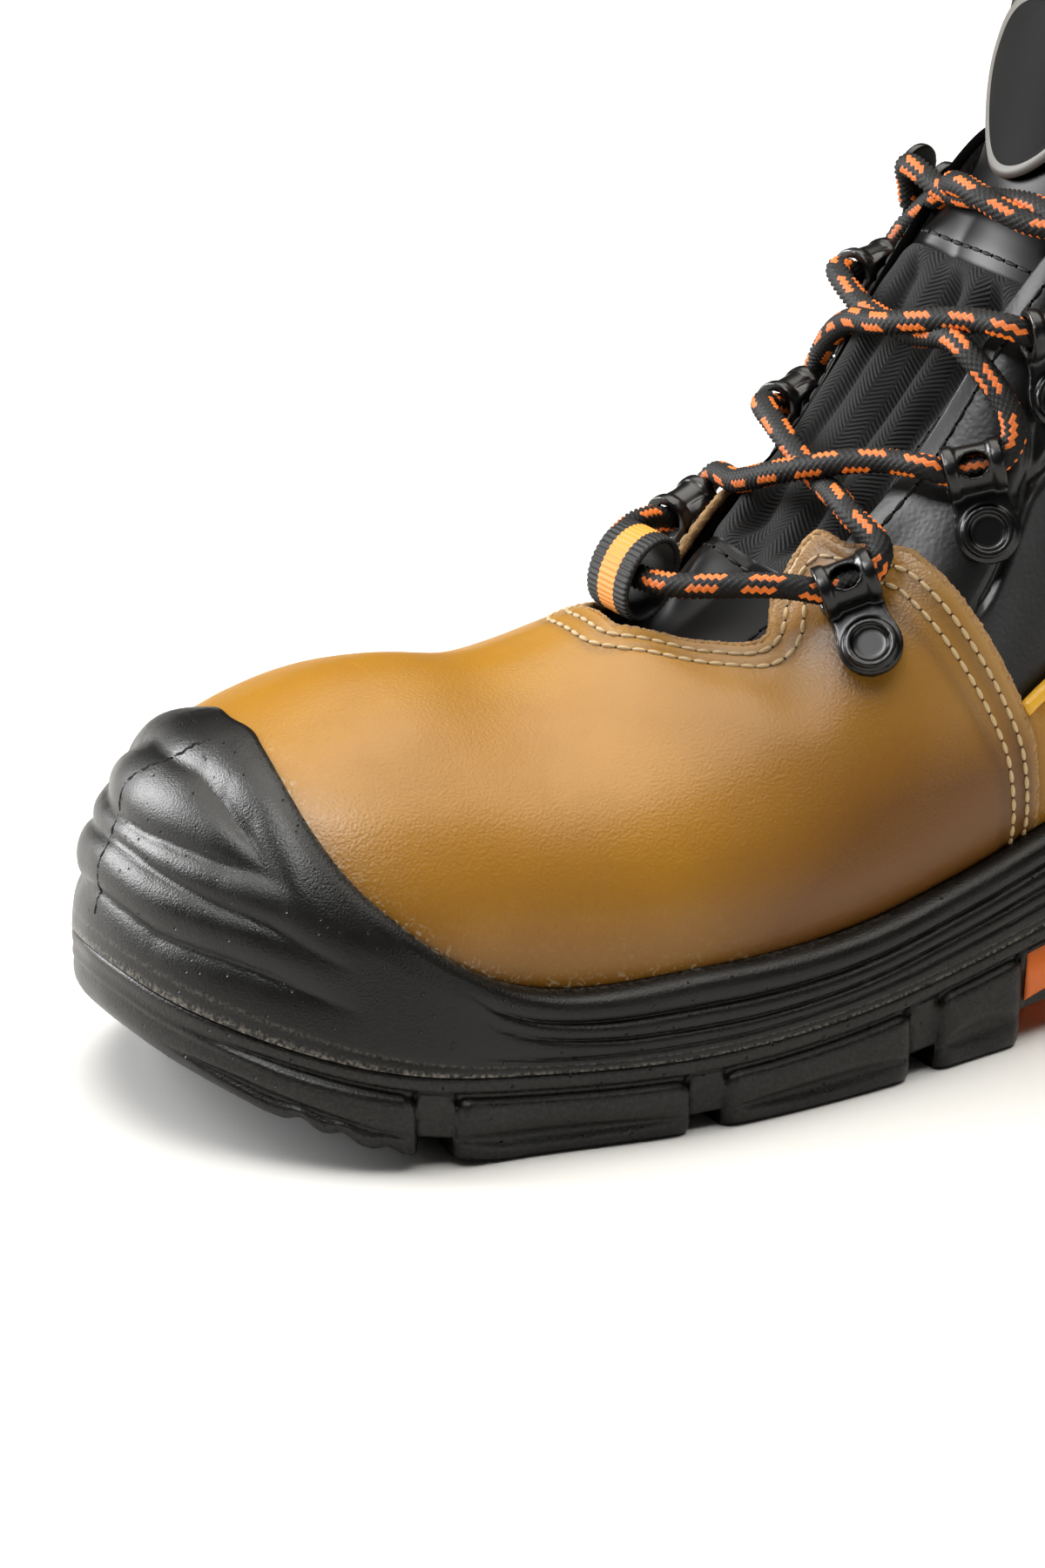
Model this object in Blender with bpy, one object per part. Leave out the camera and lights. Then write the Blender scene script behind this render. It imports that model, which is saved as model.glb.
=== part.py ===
"""Left ankle-high safety boot with laces, built piece by piece.

Tables and sizes are in millimetres and are turned into metres when a mesh is made. +X points to
the toe, +Y to the outer (lateral) side, +Z up, and the floor is z = 0. Every soft piece comes from
one function, skin(), which gives the outside of the leather on the last. A place runs along half
of the outline: 0 is the toe tip, 1 the end of the toe curve, 2 the start of the heel curve and 3
the back of the heel.
"""
import math
from collections import namedtuple
from functools import lru_cache

import bmesh
import bpy
import numpy as np
from mathutils import Matrix, Vector

MM = 0.001
LATERAL, MEDIAL = 1, -1

# Main sizes
TOE_CENTRE = 98.0
HEEL_CENTRE = -108.0
HALF_OUTLINE = (0.0, 78.0, 284.0, 346.0)
THROAT_X = 49.0
GAP = 0.3
SOLE_GAP = 0.85
FLOOR_GAP = 0.9
LEATHER = 1.6
UPPER_WALL = 2.2
OVERLAY_GAP = 0.9
UPPER_OUTSIDE = -LEATHER - OVERLAY_GAP
UPPER_INSIDE = UPPER_OUTSIDE - UPPER_WALL
COLLAR_ROLL = 2.0
COLLAR_START = 1.68
COLLAR_RUN = 0.16
COLLAR_UP = 0.7
COLLAR_RISE = 0.2
FLOOR = 6.0
INSOLE = 3.5
PLATE = 4.5
BAND = 3.2
BED = 1.2

# The last, seen from outside: half widths to each side, then heights and widths up each section.
# Shoulder, roof and edge are widths as shares of the half width. Edge is the rim of the opening.
LastRow = namedtuple("LastRow", "place lateral medial tuck bulge_z shoulder shoulder_z "
                     "roof roof_z edge edge_z ridge_z")
LAST = [
    LastRow(0.00, 48.5, 48.5, 5.0, 43, 0.80, 62.5, 0.50, 70.5, 0.165, 76.0, 76.8),
    LastRow(0.50, 48.5, 47.5, 5.0, 42, 0.80, 61.0, 0.50, 70.0, 0.165, 76.0, 76.8),
    LastRow(1.00, 52.5, 47.0, 5.0, 39, 0.82, 58.0, 0.52, 69.5, 0.155, 76.2, 77.0),
    LastRow(1.20, 59.0, 47.5, 5.0, 38, 0.82, 57.5, 0.52, 69.5, 0.140, 77.4, 78.2),
    LastRow(1.24, 59.0, 47.0, 5.0, 39, 0.82, 58.5, 0.54, 70.5, 0.140, 79.5, 80.6),
    LastRow(1.30, 58.5, 45.5, 6.0, 40, 0.81, 61.0, 0.60, 71.0, 0.300, 77.3, 83.0),
    LastRow(1.36, 57.3, 43.8, 6.6, 41, 0.80, 64.5, 0.60, 73.5, 0.420, 79.2, 88.0),
    LastRow(1.395, 56.4, 42.3, 7.0, 42, 0.80, 67.5, 0.58, 80.5, 0.430, 88.5, 96.0),
    LastRow(1.50, 53.0, 39.5, 8.0, 46, 0.82, 84.0, 0.60, 102.0, 0.450, 110.0, 119.0),
    LastRow(1.60, 48.5, 37.5, 8.0, 50, 0.86, 100.0, 0.68, 128.0, 0.520, 139.0, 150.0),
    LastRow(1.70, 45.0, 37.5, 7.0, 53, 0.88, 104.0, 0.78, 140.0, 0.640, 158.0, 190.0),
    LastRow(1.85, 42.5, 38.5, 6.0, 55, 0.87, 104.0, 0.85, 134.0, 0.870, 154.0, 200.0),
    LastRow(2.00, 41.0, 38.5, 5.0, 56, 0.86, 104.0, 0.85, 132.0, 0.900, 151.0, 200.0),
    LastRow(2.50, 40.0, 39.0, 5.0, 56, 0.82, 104.0, 0.82, 132.0, 0.890, 151.0, 200.0),
    LastRow(3.00, 40.0, 40.0, 5.0, 56, 0.80, 104.0, 0.80, 132.0, 0.880, 153.0, 200.0),
]

# The sole: half widths of its outline and the height of its wall, which climbs over the toe.
SoleRow = namedtuple("SoleRow", "place lateral medial wall_top")
SOLE = [
    SoleRow(0.00, 53.8, 53.8, 70.0),
    SoleRow(0.25, 54.0, 53.8, 69.0),
    SoleRow(0.50, 55.0, 53.0, 63.0),
    SoleRow(0.75, 56.8, 52.0, 47.5),
    SoleRow(1.00, 58.0, 51.5, 33.5),
    SoleRow(1.20, 63.5, 52.0, 30.5),
    SoleRow(1.37, 61.5, 47.5, 32.0),
    SoleRow(1.48, 57.5, 44.0, 36.5),
    SoleRow(1.60, 53.0, 42.0, 42.0),
    SoleRow(1.72, 49.0, 42.0, 45.0),
    SoleRow(1.86, 46.8, 43.0, 47.0),
    SoleRow(2.00, 45.5, 43.5, 48.0),
    SoleRow(2.50, 45.0, 44.0, 48.0),
    SoleRow(3.00, 45.0, 45.0, 48.0),
]

# Heights along the sole: the welt between midsole and outsole, and the underside of the tread.
HeightRow = namedtuple("HeightRow", "x welt tread")
HEIGHTS = [
    HeightRow(-155.0, 29.0, 5.0),
    HeightRow(-138.0, 29.0, 0.0),
    HeightRow(-108.0, 29.0, 0.0),
    HeightRow(-79.0, 28.5, 0.0),
    HeightRow(-50.0, 27.0, 0.0),
    HeightRow(-25.0, 24.5, 0.0),
    HeightRow(-1.0, 20.5, 0.0),
    HeightRow(22.0, 17.5, 0.0),
    HeightRow(57.0, 15.3, 0.0),
    HeightRow(98.0, 16.8, 0.0),
    HeightRow(120.0, 20.0, 3.5),
    HeightRow(137.0, 24.5, 10.0),
    HeightRow(148.0, 28.5, 16.0),
    HeightRow(155.0, 32.0, 21.0),
]

# The wall of the sole from its rim down to the flange: share of the height, and how far it is cut in.
# The wall flares from RIM_REACH outside the leather to the sole's own outline.
WallRow = namedtuple("WallRow", "down cut")
WALL = [
    WallRow(0.00, 2.2),
    WallRow(0.10, 0.6),
    WallRow(0.24, 0.2),
    WallRow(0.38, 1.4),
    WallRow(0.54, 0.3),
    WallRow(0.76, 1.3),
    WallRow(0.82, 0.0),
    WallRow(1.00, 0.0),
]
RIM_REACH = 3.4
LEAST_REACH = 3.0
WALL_FLARE = 0.7

# The vamp's rear edge: the height up the side, as a share, and where it is along the boot.
BackRow = namedtuple("BackRow", "up x")
VAMP_BACK = [BackRow(0.0, -21.0), BackRow(0.3, -17.0), BackRow(0.85, 3.3), BackRow(1.0, 18.7)]
CROWD = 0.002
CLEAR_PLACE = 0.03

# The counter's upper edge: share of the way to the heel, and height up the side as a share.
CounterRow = namedtuple("CounterRow", "way up")
COUNTER_TOP = [
    CounterRow(0.00, 0.36),
    CounterRow(0.35, 0.30),
    CounterRow(0.70, 0.38),
    CounterRow(1.00, 0.48),
]

# The tongue, from under the throat to its free end: the middle of its face and its section.
TongueRow = namedtuple("TongueRow", "x z half thick")
TONGUE = [
    TongueRow(58.0, 69.0, 18.0, 2.5),
    TongueRow(47.0, 70.0, 20.0, 3.0),
    TongueRow(36.0, 71.8, 20.0, 4.0),
    TongueRow(21.0, 80.0, 21.0, 6.0),
    TongueRow(5.0, 95.0, 22.0, 7.0),
    TongueRow(-12.0, 114.5, 22.5, 7.0),
    TongueRow(-28.0, 138.5, 23.2, 7.0),
    TongueRow(-39.0, 156.0, 18.8, 7.0),
    TongueRow(-44.5, 176.0, 26.5, 6.0),
    TongueRow(-47.5, 189.0, 25.0, 5.0),
    TongueRow(-48.5, 195.0, 16.0, 4.0),
]
TONGUE_Y = 3.4
TONGUE_CAMBER = 40.0
TONGUE_RIM = 1.2
PATCH_CENTRE = 0.865
PATCH_LENGTH = 0.105
PATCH_WIDTH = 0.72
PATCH = 1.6
PATCH_GAP = 0.9
PATCH_SIDES = 18

# Lace guides: x along the boot, how far their middle is below the rim of the opening, and their lift.
GuideRow = namedtuple("GuideRow", "x drop lift")
LOOPS = [GuideRow(12.0, 16.0, 1.3), GuideRow(-12.0, 22.0, 1.0), GuideRow(-29.0, 20.0, 1.0)]
HOOK = GuideRow(-43.0, 13.0, 0.8)
GUIDE_LENGTH = 23.0
GUIDE_WIDTH = 11.5
GUIDE_PLATE = 2.2
BARREL_RADIUS = 4.7
BORE_RADIUS = 3.1
BARREL_LENGTH = 10.0
BARREL_UP = 6.5
BARREL_HEIGHT = 4.1
WINDOW_RADIUS = 2.4
RIVET_UP = -5.6
RIVET_RADIUS = 4.9
RIVET_HEIGHT = 1.1
RIVET_RIM = 1.3
DISH = 1.0
ROUND_SIDES = 8
HOOK_LENGTH = 16.0
HOOK_WIDTH = 10.0
POST_RADIUS = 2.4
POST_UP = 2.0
POST_HEIGHT = 8.0
HEAD_RADIUS = 5.2
HEAD_UP = 4.0
HEAD_THICK = 1.8

# The lace: how far its ends stop from the guides' mouths, and how it clears the rims and the tongue.
LACE_RADIUS = 2.5
MOUTH_CLEARANCE = 2.0
MOUTH_UP = 7.5
MOUTH_OUT = 0.4
RIM_CLEARANCE = 1.8
STRAND_LIFTS = {LATERAL: 5.5, MEDIAL: 8.7}

# The ribbon loop that holds the lowest bar of the lace.
WEBBING_CENTRE = (40.5, 87.0)
WEBBING_HALF = (8.6, 5.4)
WEBBING_TILT = math.radians(118.0)
WEBBING_WIDTH = 15.0
WEBBING_THICK = 1.4
WEBBING_SIDES = 22
WEBBING_HOLD = 9.0

# The tread: where along x the gaps between lugs are, on both sides, and the stretch with no lugs.
GAP_CENTRES = (110.5, 59.0, 10.5, -76.0, -103.0)
GAP_HALF = 3.2
GAP_DRAFT = 0.8
WAIST = (-14.0, -53.0)
ARCH_UNDERSIDE = 8.0
ARCH_RISE = 2.5
ARCH_INSET = 1.5
LUG_INSET = 0.03
LUG_SHARE = 0.46
CHANNEL_SHARE = 0.56
CHANNEL_DRAFT = 0.02


def smooth(knots, values, at):
    """Run a smooth curve through the values, level at both ends."""
    knots = np.asarray(knots, float)
    values = np.asarray(values, float)
    steps = np.diff(knots)
    slopes = np.diff(values) / steps
    tangents = np.zeros_like(values)
    tangents[1:-1] = (slopes[:-1] * steps[1:] + slopes[1:] * steps[:-1]) / (steps[1:] + steps[:-1])
    i = int(np.clip(np.searchsorted(knots, at) - 1, 0, len(knots) - 2))
    t = (at - knots[i]) / steps[i]
    start = (1 + 2 * t) * (1 - t) ** 2 * values[i] + t * (1 - t) ** 2 * steps[i] * tangents[i]
    end = t * t * (3 - 2 * t) * values[i + 1] + t * t * (t - 1) * steps[i] * tangents[i + 1]
    return float(start + end)


def column(rows, name):
    return [getattr(row, name) for row in rows]


def outline_length(place):
    return np.interp(place, (0, 1, 2, 3), HALF_OUTLINE)


@lru_cache(maxsize=None)
def last(name, place):
    return smooth(outline_length(column(LAST, "place")), column(LAST, name), outline_length(place))


@lru_cache(maxsize=None)
def sole(name, place):
    return smooth(outline_length(column(SOLE, "place")), column(SOLE, name), outline_length(place))


@lru_cache(maxsize=None)
def welt(x):
    return smooth(column(HEIGHTS, "x"), column(HEIGHTS, "welt"), x)


def tread(x):
    return float(np.interp(x, column(HEIGHTS, "x"), column(HEIGHTS, "tread")))


def place_at(x):
    """Place of a section on the straight stretch between the toe curve and the heel curve."""
    return 1 + (TOE_CENTRE - x) / (TOE_CENTRE - HEEL_CENTRE)


def half_name(side):
    return "lateral" if side == LATERAL else "medial"


def spread(place, side, radius):
    """Turn a distance from the boot's axis into x and y."""
    if place <= 1:
        centre, angle = TOE_CENTRE, place * math.pi / 2
    elif place <= 2:
        centre, angle = TOE_CENTRE + (HEEL_CENTRE - TOE_CENTRE) * (place - 1), math.pi / 2
    else:
        centre, angle = HEEL_CENTRE, (place - 1) * math.pi / 2
    across = 0.0 if place in (0, 3) else math.sin(angle)
    return centre + radius * math.cos(angle), side * radius * across


THROAT = place_at(THROAT_X)


@lru_cache(maxsize=None)
def section(place, side):
    """Radii and heights up one section, with 0 at the feather line, 1 at the edge and 2 at the ridge."""
    half = last(half_name(side), place)
    feather = half - last("tuck", place)
    levels = np.array([
        (feather, welt(spread(place, side, feather)[0]) + FLOOR),
        (half, last("bulge_z", place)),
        (half * last("shoulder", place), last("shoulder_z", place)),
        (half * last("roof", place), last("roof_z", place)),
        (half * last("edge", place), last("edge_z", place)),
        (0.0, last("ridge_z", place)),
    ])
    steps = np.linalg.norm(np.diff(levels, axis=0), axis=1) ** 0.5
    slopes = np.diff(levels, axis=0) / steps[:, None]
    tangents = np.zeros_like(levels)
    weighted = slopes[:-1] * steps[1:, None] + slopes[1:] * steps[:-1, None]
    tangents[1:-1] = weighted / (steps[1:] + steps[:-1])[:, None]
    tangents[0] = 1.5 * slopes[0] - 0.5 * tangents[1]
    tangents[-1] = (slopes[-1][0], 0.0)
    curve = []
    for i, step in enumerate(steps):
        t = np.linspace(0, 1, 25)[:, None]
        start = (1 + 2 * t) * (1 - t) ** 2 * levels[i] + t * (1 - t) ** 2 * step * tangents[i]
        end = t * t * (3 - 2 * t) * levels[i + 1] + t * t * (t - 1) * step * tangents[i + 1]
        curve.append(start + end)
    wall = np.vstack([curve[0]] + [part[1:] for part in curve[1:-1]])
    return arc_shares(wall), wall, arc_shares(curve[-1]), curve[-1]


def arc_shares(points):
    lengths = np.concatenate([[0], np.cumsum(np.linalg.norm(np.diff(points, axis=0), axis=1))])
    return lengths / lengths[-1]


def on_last(place, side, up):
    shares, wall, roof_shares, roof = section(place, side)
    if up > 1:
        radius, z = (np.interp(up - 1, roof_shares, roof[:, k]) for k in (0, 1))
    else:
        radius, z = (np.interp(up, shares, wall[:, k]) for k in (0, 1))
    x, y = spread(place, side, radius)
    return np.array([x, y, z])


@lru_cache(maxsize=None)
def normal_at(place, side, up):
    if up >= 2 and place <= 1:
        return np.array([0.0, 0.0, 1.0])
    step = 0.004
    last_place = THROAT if up > 1 else 3
    top = 2 if up > 1 else 1
    ahead = on_last(min(place + step, last_place), side, up) - on_last(max(place - step, 0), side, up)
    above = on_last(place, side, min(up + step, top)) - on_last(place, side, max(up - step, 0))
    normal = side * np.cross(ahead, above)
    if place in (0, 3) or up >= 2:
        normal[1] = 0.0
    return normal / np.linalg.norm(normal)


def skin(place, side, up, out):
    """Point on the outside of the leather, moved out by some millimetres but never under the last."""
    point = on_last(place, side, up) + out * normal_at(place, side, up)
    point[2] = max(point[2], welt(float(point[0])) + FLOOR)
    return point


def height_to_up(place, side, z):
    shares, wall, _, _ = section(place, side)
    return float(np.interp(z, wall[:, 1], shares))


def sole_wall(place, side, z, out):
    """Point outside the leather at a height: it follows the last above its widest line, upright below."""
    if z < last("bulge_z", place):
        x, y = spread(place, side, last(half_name(side), place) + out)
        return np.array([x, y, z])
    return skin(place, side, height_to_up(place, side, z), out)


def frame_shift():
    """Move that puts the origin under the middle of the sole's outline."""
    ring = [spread(p, s, sole(half_name(s), p)) for s in (LATERAL, MEDIAL) for p in PLACES]
    low, high = np.min(ring, axis=0), np.max(ring, axis=0)
    return np.array([*(-(low + high) / 2), 0.0])


STRAIGHT_X = (82, 66, THROAT_X, 40, 31, 25, 20, 15, 9, -4, -17, -31, -42, -57, -74, -91)
TOE_STEPS = 6
HEEL_STEPS = 5
TOE_PLACES = [k / TOE_STEPS for k in range(TOE_STEPS + 1)]
HEEL_PLACES = [2 + k / HEEL_STEPS for k in range(HEEL_STEPS + 1)]
PLACES = TOE_PLACES + [place_at(x) for x in STRAIGHT_X] + HEEL_PLACES
UP_ROWS = (0, 0.07, 0.14, 0.22, 0.32, 0.45, 0.6, 0.74, 0.87, 1, 2)
SHIFT = frame_shift()


def lattice(stations, rows, axis=False, keep=None):
    """Nodes and faces over both sides of the boot, sharing the nodes on the middle plane.

    With axis, the last row lies on the boot's axis, where each fan of sections meets in one node.
    """
    numbers, nodes, faces = {}, [], []

    def number(i, side, j):
        place, on_axis = stations[i], axis and j == len(rows) - 1
        if on_axis and place <= 1 and stations[0] == 0:
            i = 0
        if on_axis and place >= 2 and stations[-1] == 3:
            i = len(stations) - 1
        if on_axis or stations[i] in (0, 3):
            side = LATERAL
        if (i, side, j) not in numbers:
            numbers[i, side, j] = len(nodes)
            nodes.append((stations[i], side, rows[j]))
        return numbers[i, side, j]

    for side in (LATERAL, MEDIAL):
        for i in range(len(stations) - 1):
            for j in range(len(rows) - 1):
                if keep and not keep(stations[i + 1], rows[j + 1]):
                    continue
                corners = [number(i, side, j), number(i + 1, side, j)]
                corners += [number(i + 1, side, j + 1), number(i, side, j + 1)]
                face = list(dict.fromkeys(corners))
                if len(face) > 2:
                    faces.append(face if side == LATERAL else face[::-1])
    return nodes, faces


def grid(columns, rows, ring=False):
    """Nodes and faces of a plain grid, closed round its columns if it is a ring."""
    nodes = [(a, b) for a in columns for b in rows]
    count, high = len(columns), len(rows)
    faces = []
    for i in range(count if ring else count - 1):
        for j in range(high - 1):
            here, there = i * high + j, (i + 1) % count * high + j
            faces.append([here, there, there + 1, here + 1])
    return nodes, faces


def make_object(name, mesh, material):
    mesh.materials.append(material)
    mesh.shade_smooth()
    mesh.set_sharp_from_angle(angle=math.radians(40))
    thing = bpy.data.objects.new(name, mesh)
    thing.parent = boot
    bpy.context.collection.objects.link(thing)
    return thing


def mesh_from(name, points, faces):
    mesh = bpy.data.meshes.new(name)
    mesh.from_pydata([tuple(p) for p in points], [], [tuple(f) for f in faces])
    work = bmesh.new()
    work.from_mesh(mesh)
    bmesh.ops.recalc_face_normals(work, faces=work.faces)
    work.to_mesh(mesh)
    work.free()
    return mesh


def solid(name, pattern, front, back, material):
    """Close the space between two sheets that share one pattern of nodes and faces.

    Quads are split the same way in every piece, so that neighbouring pieces have matching facets.
    """
    nodes, quads = pattern
    count = len(nodes)
    faces = [part for quad in quads for part in (quad[:3], quad[2:] + quad[:1]) if len(part) == 3]
    points = [front(*node) for node in nodes] + [back(*node) for node in nodes]
    used = {(f[k - 1], f[k]) for f in faces for k in range(len(f))}
    rim = [(a, b) for a, b in used if (b, a) not in used]
    walls = [(b, a, a + count, b + count) for a, b in sorted(rim)]
    backs = [[i + count for i in reversed(f)] for f in faces]
    points = [(p + SHIFT) * MM for p in points]
    return make_object(name, mesh_from(name, points, faces + walls + backs), material)


def material(name, colour, roughness, metallic=0.0):
    made = bpy.data.materials.new(name)
    made.use_nodes = True
    shader = made.node_tree.nodes["Principled BSDF"]
    shader.inputs["Base Color"].default_value = (*colour, 1.0)
    shader.inputs["Roughness"].default_value = roughness
    shader.inputs["Metallic"].default_value = metallic
    return made


def upper_out(place, up):
    """How far the upper's outside is from the leather's face: under it, and padded at the collar."""
    along = np.clip((place - COLLAR_START) / COLLAR_RUN, 0, 1)
    above = np.clip((up - COLLAR_UP) / COLLAR_RISE, 0, 1)
    return UPPER_OUTSIDE + COLLAR_ROLL * along * above


def add_upper():
    """Hollow black shell with a rolled collar, open at the throat, the collar and underneath."""
    pattern = lattice(PLACES, UP_ROWS, axis=True, keep=lambda place, up: up <= 1 or place <= THROAT)

    def face(place, side, up):
        return skin(place, side, up, upper_out(place, up))

    def lining(place, side, up):
        return skin(place, side, up, UPPER_INSIDE)

    solid("upper", pattern, face, lining, BLACK_LEATHER)


def vamp_back(up):
    return place_at(np.interp(up, column(VAMP_BACK, "up"), column(VAMP_BACK, "x")))


def cut_back(values, limit):
    """Keep a rising list of values short of a limit, with the last ones crowded up against it."""
    count = len(values)
    return [min(value, limit - CROWD * (count - 1 - k)) for k, value in enumerate(values)]


def add_vamp():
    """Tan overlay over the forefoot, with wings that run up to the first lace guides."""
    stations = [p for p in PLACES if p < vamp_back(0)]
    stations.append(vamp_back(0))
    pattern = lattice(stations, UP_ROWS, axis=True, keep=lambda place, up: up <= 1 or place <= THROAT)

    def place_on(place, up):
        return cut_back(stations, vamp_back(min(up, 1)))[stations.index(place)]

    def face(place, side, up):
        return skin(place_on(place, up), side, up, 0.0)

    def flesh(place, side, up):
        return skin(place_on(place, up), side, up, -LEATHER)

    solid("vamp", pattern, face, flesh, TAN_LEATHER)


def add_counter():
    """Tan panel round the heel, from the vamp's rear edge back."""
    front = vamp_back(0.0)
    stations = [front] + [p for p in PLACES if p > front + CLEAR_PLACE]
    rows = [up for up in UP_ROWS if up < max(column(COUNTER_TOP, "up"))] + [1]
    pattern = lattice(stations, rows)
    clear = GAP / (TOE_CENTRE - HEEL_CENTRE)

    def on_panel(place, row):
        way = (place - front) / (3 - front)
        top = smooth(column(COUNTER_TOP, "way"), column(COUNTER_TOP, "up"), way)
        up = cut_back(rows, top)[rows.index(row)]
        return (vamp_back(up) + clear if place == front else place), up

    def face(station, side, row):
        place, up = on_panel(station, row)
        return skin(place, side, up, 0.0)

    def flesh(station, side, row):
        place, up = on_panel(station, row)
        return skin(place, side, up, -LEATHER)

    solid("counter", pattern, face, flesh, TAN_LEATHER)


def sole_reach(place, side):
    return sole(half_name(side), place) - last(half_name(side), place)


def add_midsole():
    """Cup with a floor, a ribbed wall and the toe bumper, moulded in one."""
    floor_shares = (0.15, 0.5, 1.0)
    rows = [(row, 0.0) for row in WALL] + [(None, share) for share in floor_shares]
    pattern = lattice(PLACES, rows, axis=True)

    def inside(place, side, row):
        wall, share = row
        foot = skin(place, side, 0.0, SOLE_GAP)
        if wall:
            top = sole("wall_top", place)
            z = top + (foot[2] - top) * WALL.index(wall) / (len(WALL) - 1)
            return skin(place, side, height_to_up(place, side, z), SOLE_GAP)
        centre = spread(place, side, 0.0)[0]
        x, y = centre + (foot[0] - centre) * (1 - share), foot[1] * (1 - share)
        return np.array([x, y, welt(x) + FLOOR - FLOOR_GAP])

    def outside(place, side, row):
        wall, share = row
        radius = sole(half_name(side), place)
        x, y = spread(place, side, radius * (1 - share))
        if not wall:
            return np.array([x, y, welt(x)])
        top = sole("wall_top", place)
        z = top + (welt(x) - top) * wall.down
        reach = max(sole_reach(place, side), LEAST_REACH)
        envelope = RIM_REACH + (reach - RIM_REACH) * wall.down ** WALL_FLARE
        return sole_wall(place, side, z, envelope - wall.cut)

    solid("midsole", pattern, outside, inside, BLACK_RUBBER)


def tread_places():
    """Stations of the outsole: those of the boot, with four more at each gap between lugs."""
    cuts = []
    for x in GAP_CENTRES:
        for step in (GAP_HALF + GAP_DRAFT, GAP_HALF):
            cuts += [outline_place(x + step), outline_place(x - step)]
    for x, outward in zip(WAIST, (1, -1)):
        cuts += [place_at(x), place_at(x + outward * GAP_DRAFT)]
    kept = [p for p in PLACES if all(abs(p - cut) > CLEAR_PLACE for cut in cuts)]
    return sorted(kept + cuts)


def outline_place(x):
    """Place whose point on the sole's lateral outline has this x, also on the toe curve."""
    if x <= TOE_CENTRE:
        return place_at(x)
    return math.acos((x - TOE_CENTRE) / sole("lateral", 0.9)) / (math.pi / 2)


def in_gap(place):
    for x in GAP_CENTRES:
        if outline_place(x + GAP_HALF) - 1e-6 <= place <= outline_place(x - GAP_HALF) + 1e-6:
            return True
    return place_at(WAIST[0]) - 1e-6 <= place <= place_at(WAIST[1]) + 1e-6


def add_outsole():
    """Plate with a band round it and lugs below, parted by gaps and a channel along the middle."""
    rows = ("band", "lug", "lug_end", "channel", "channel_end", "bar", "axis")
    shares = dict(band=0, lug=LUG_INSET, lug_end=LUG_SHARE, channel=LUG_SHARE + CHANNEL_DRAFT,
                  channel_end=CHANNEL_SHARE, bar=CHANNEL_SHARE + CHANNEL_DRAFT, axis=1)
    pattern = lattice(tread_places(), rows, axis=True)

    def at(place, side, row):
        return spread(place, side, sole(half_name(side), place) * (1 - shares[row]))

    def top(place, side, row):
        x, y = at(place, side, row)
        return np.array([x, y, welt(x) - (GAP if row == "band" else BED)])

    def underside(place, side, row):
        x, y = at(place, side, row)
        if row == "band":
            return np.array([x, y, welt(x) - BAND])
        raised = row in ("channel", "channel_end") or in_gap(place)
        if row == "axis" and not 1 < place < 2:
            raised = False
        return np.array([x, y, welt(x) - PLATE if raised else tread(x)])

    solid("outsole", pattern, top, underside, BLACK_RUBBER)


def add_arch_bridge():
    """Orange block under the arch, between the last forefoot lug and the heel."""
    ends = (WAIST[0] - GAP - GAP_DRAFT, WAIST[1] + GAP + GAP_DRAFT)
    stations = [place_at(x) for x in np.linspace(*ends, 6)]
    pattern = lattice(stations, (0.0, 0.3, 0.65, 1.0), axis=True)
    middle = sum(ends) / 2

    def at(place, side, share):
        return spread(place, side, (sole(half_name(side), place) - ARCH_INSET) * (1 - share))

    def top(place, side, share):
        x, y = at(place, side, share)
        return np.array([x, y, welt(x) - PLATE - GAP])

    def underside(place, side, share):
        x, y = at(place, side, share)
        rise = 1 - ((x - middle) / (ends[0] - middle)) ** 2
        return np.array([x, y, ARCH_UNDERSIDE + ARCH_RISE * rise])

    solid("arch_bridge", pattern, top, underside, ORANGE_RUBBER)


def add_insole():
    """Footbed that lies on the midsole's floor inside the upper."""
    pattern = lattice(PLACES, (0.0, 0.45, 1.0), axis=True)

    def at(place, side, share):
        foot = skin(place, side, 0.0, UPPER_INSIDE)
        centre = spread(place, side, 0.0)[0]
        reach = np.array([foot[0] - centre, foot[1]])
        reach *= (1 - 2 * GAP / max(np.linalg.norm(reach), 1)) * (1 - share)
        return centre + reach[0], reach[1]

    def top(place, side, share):
        x, y = at(place, side, share)
        return np.array([x, y, welt(x) + FLOOR + GAP + INSOLE])

    def underside(place, side, share):
        x, y = at(place, side, share)
        return np.array([x, y, welt(x) + FLOOR + GAP])

    solid("insole", pattern, top, underside, INSOLE_TEXTILE)


def tongue_path(along):
    """Middle of the tongue's face in x and z, and the direction it faces, at a share of its length."""
    line = np.array([(row.x, row.z) for row in TONGUE])
    shares = arc_shares(line)

    def spot(share):
        return np.array([smooth(shares, line[:, k], share) for k in (0, 1)])

    step = 0.01
    run = spot(min(along + step, 1)) - spot(max(along - step, 0))
    facing = np.array([-run[1], run[0]]) / -np.linalg.norm(run)
    half, thick = (smooth(shares, column(TONGUE, name), along) for name in ("half", "thick"))
    return spot(along), facing, half, thick


def tongue_face(along, across, out):
    """Point on the tongue: shares along and across it, moved out by some millimetres."""
    middle, facing, half, _ = tongue_path(along)
    y = across * half
    x, z = middle + facing * (out - y * y / (2 * TONGUE_CAMBER))
    return np.array([x, y + TONGUE_Y, z])


def add_tongue():
    """Padded tongue, thick in the middle and thin at its sides."""
    pattern = grid(np.linspace(0, 1, 16), np.linspace(-1, 1, 9))

    def lining(along, across):
        thick = tongue_path(along)[3]
        return tongue_face(along, across, -max(thick * (1 - across ** 4), TONGUE_RIM))

    def face(along, across):
        return tongue_face(along, across, 0.0)

    solid("tongue", pattern, face, lining, BLACK_TEXTILE)


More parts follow.
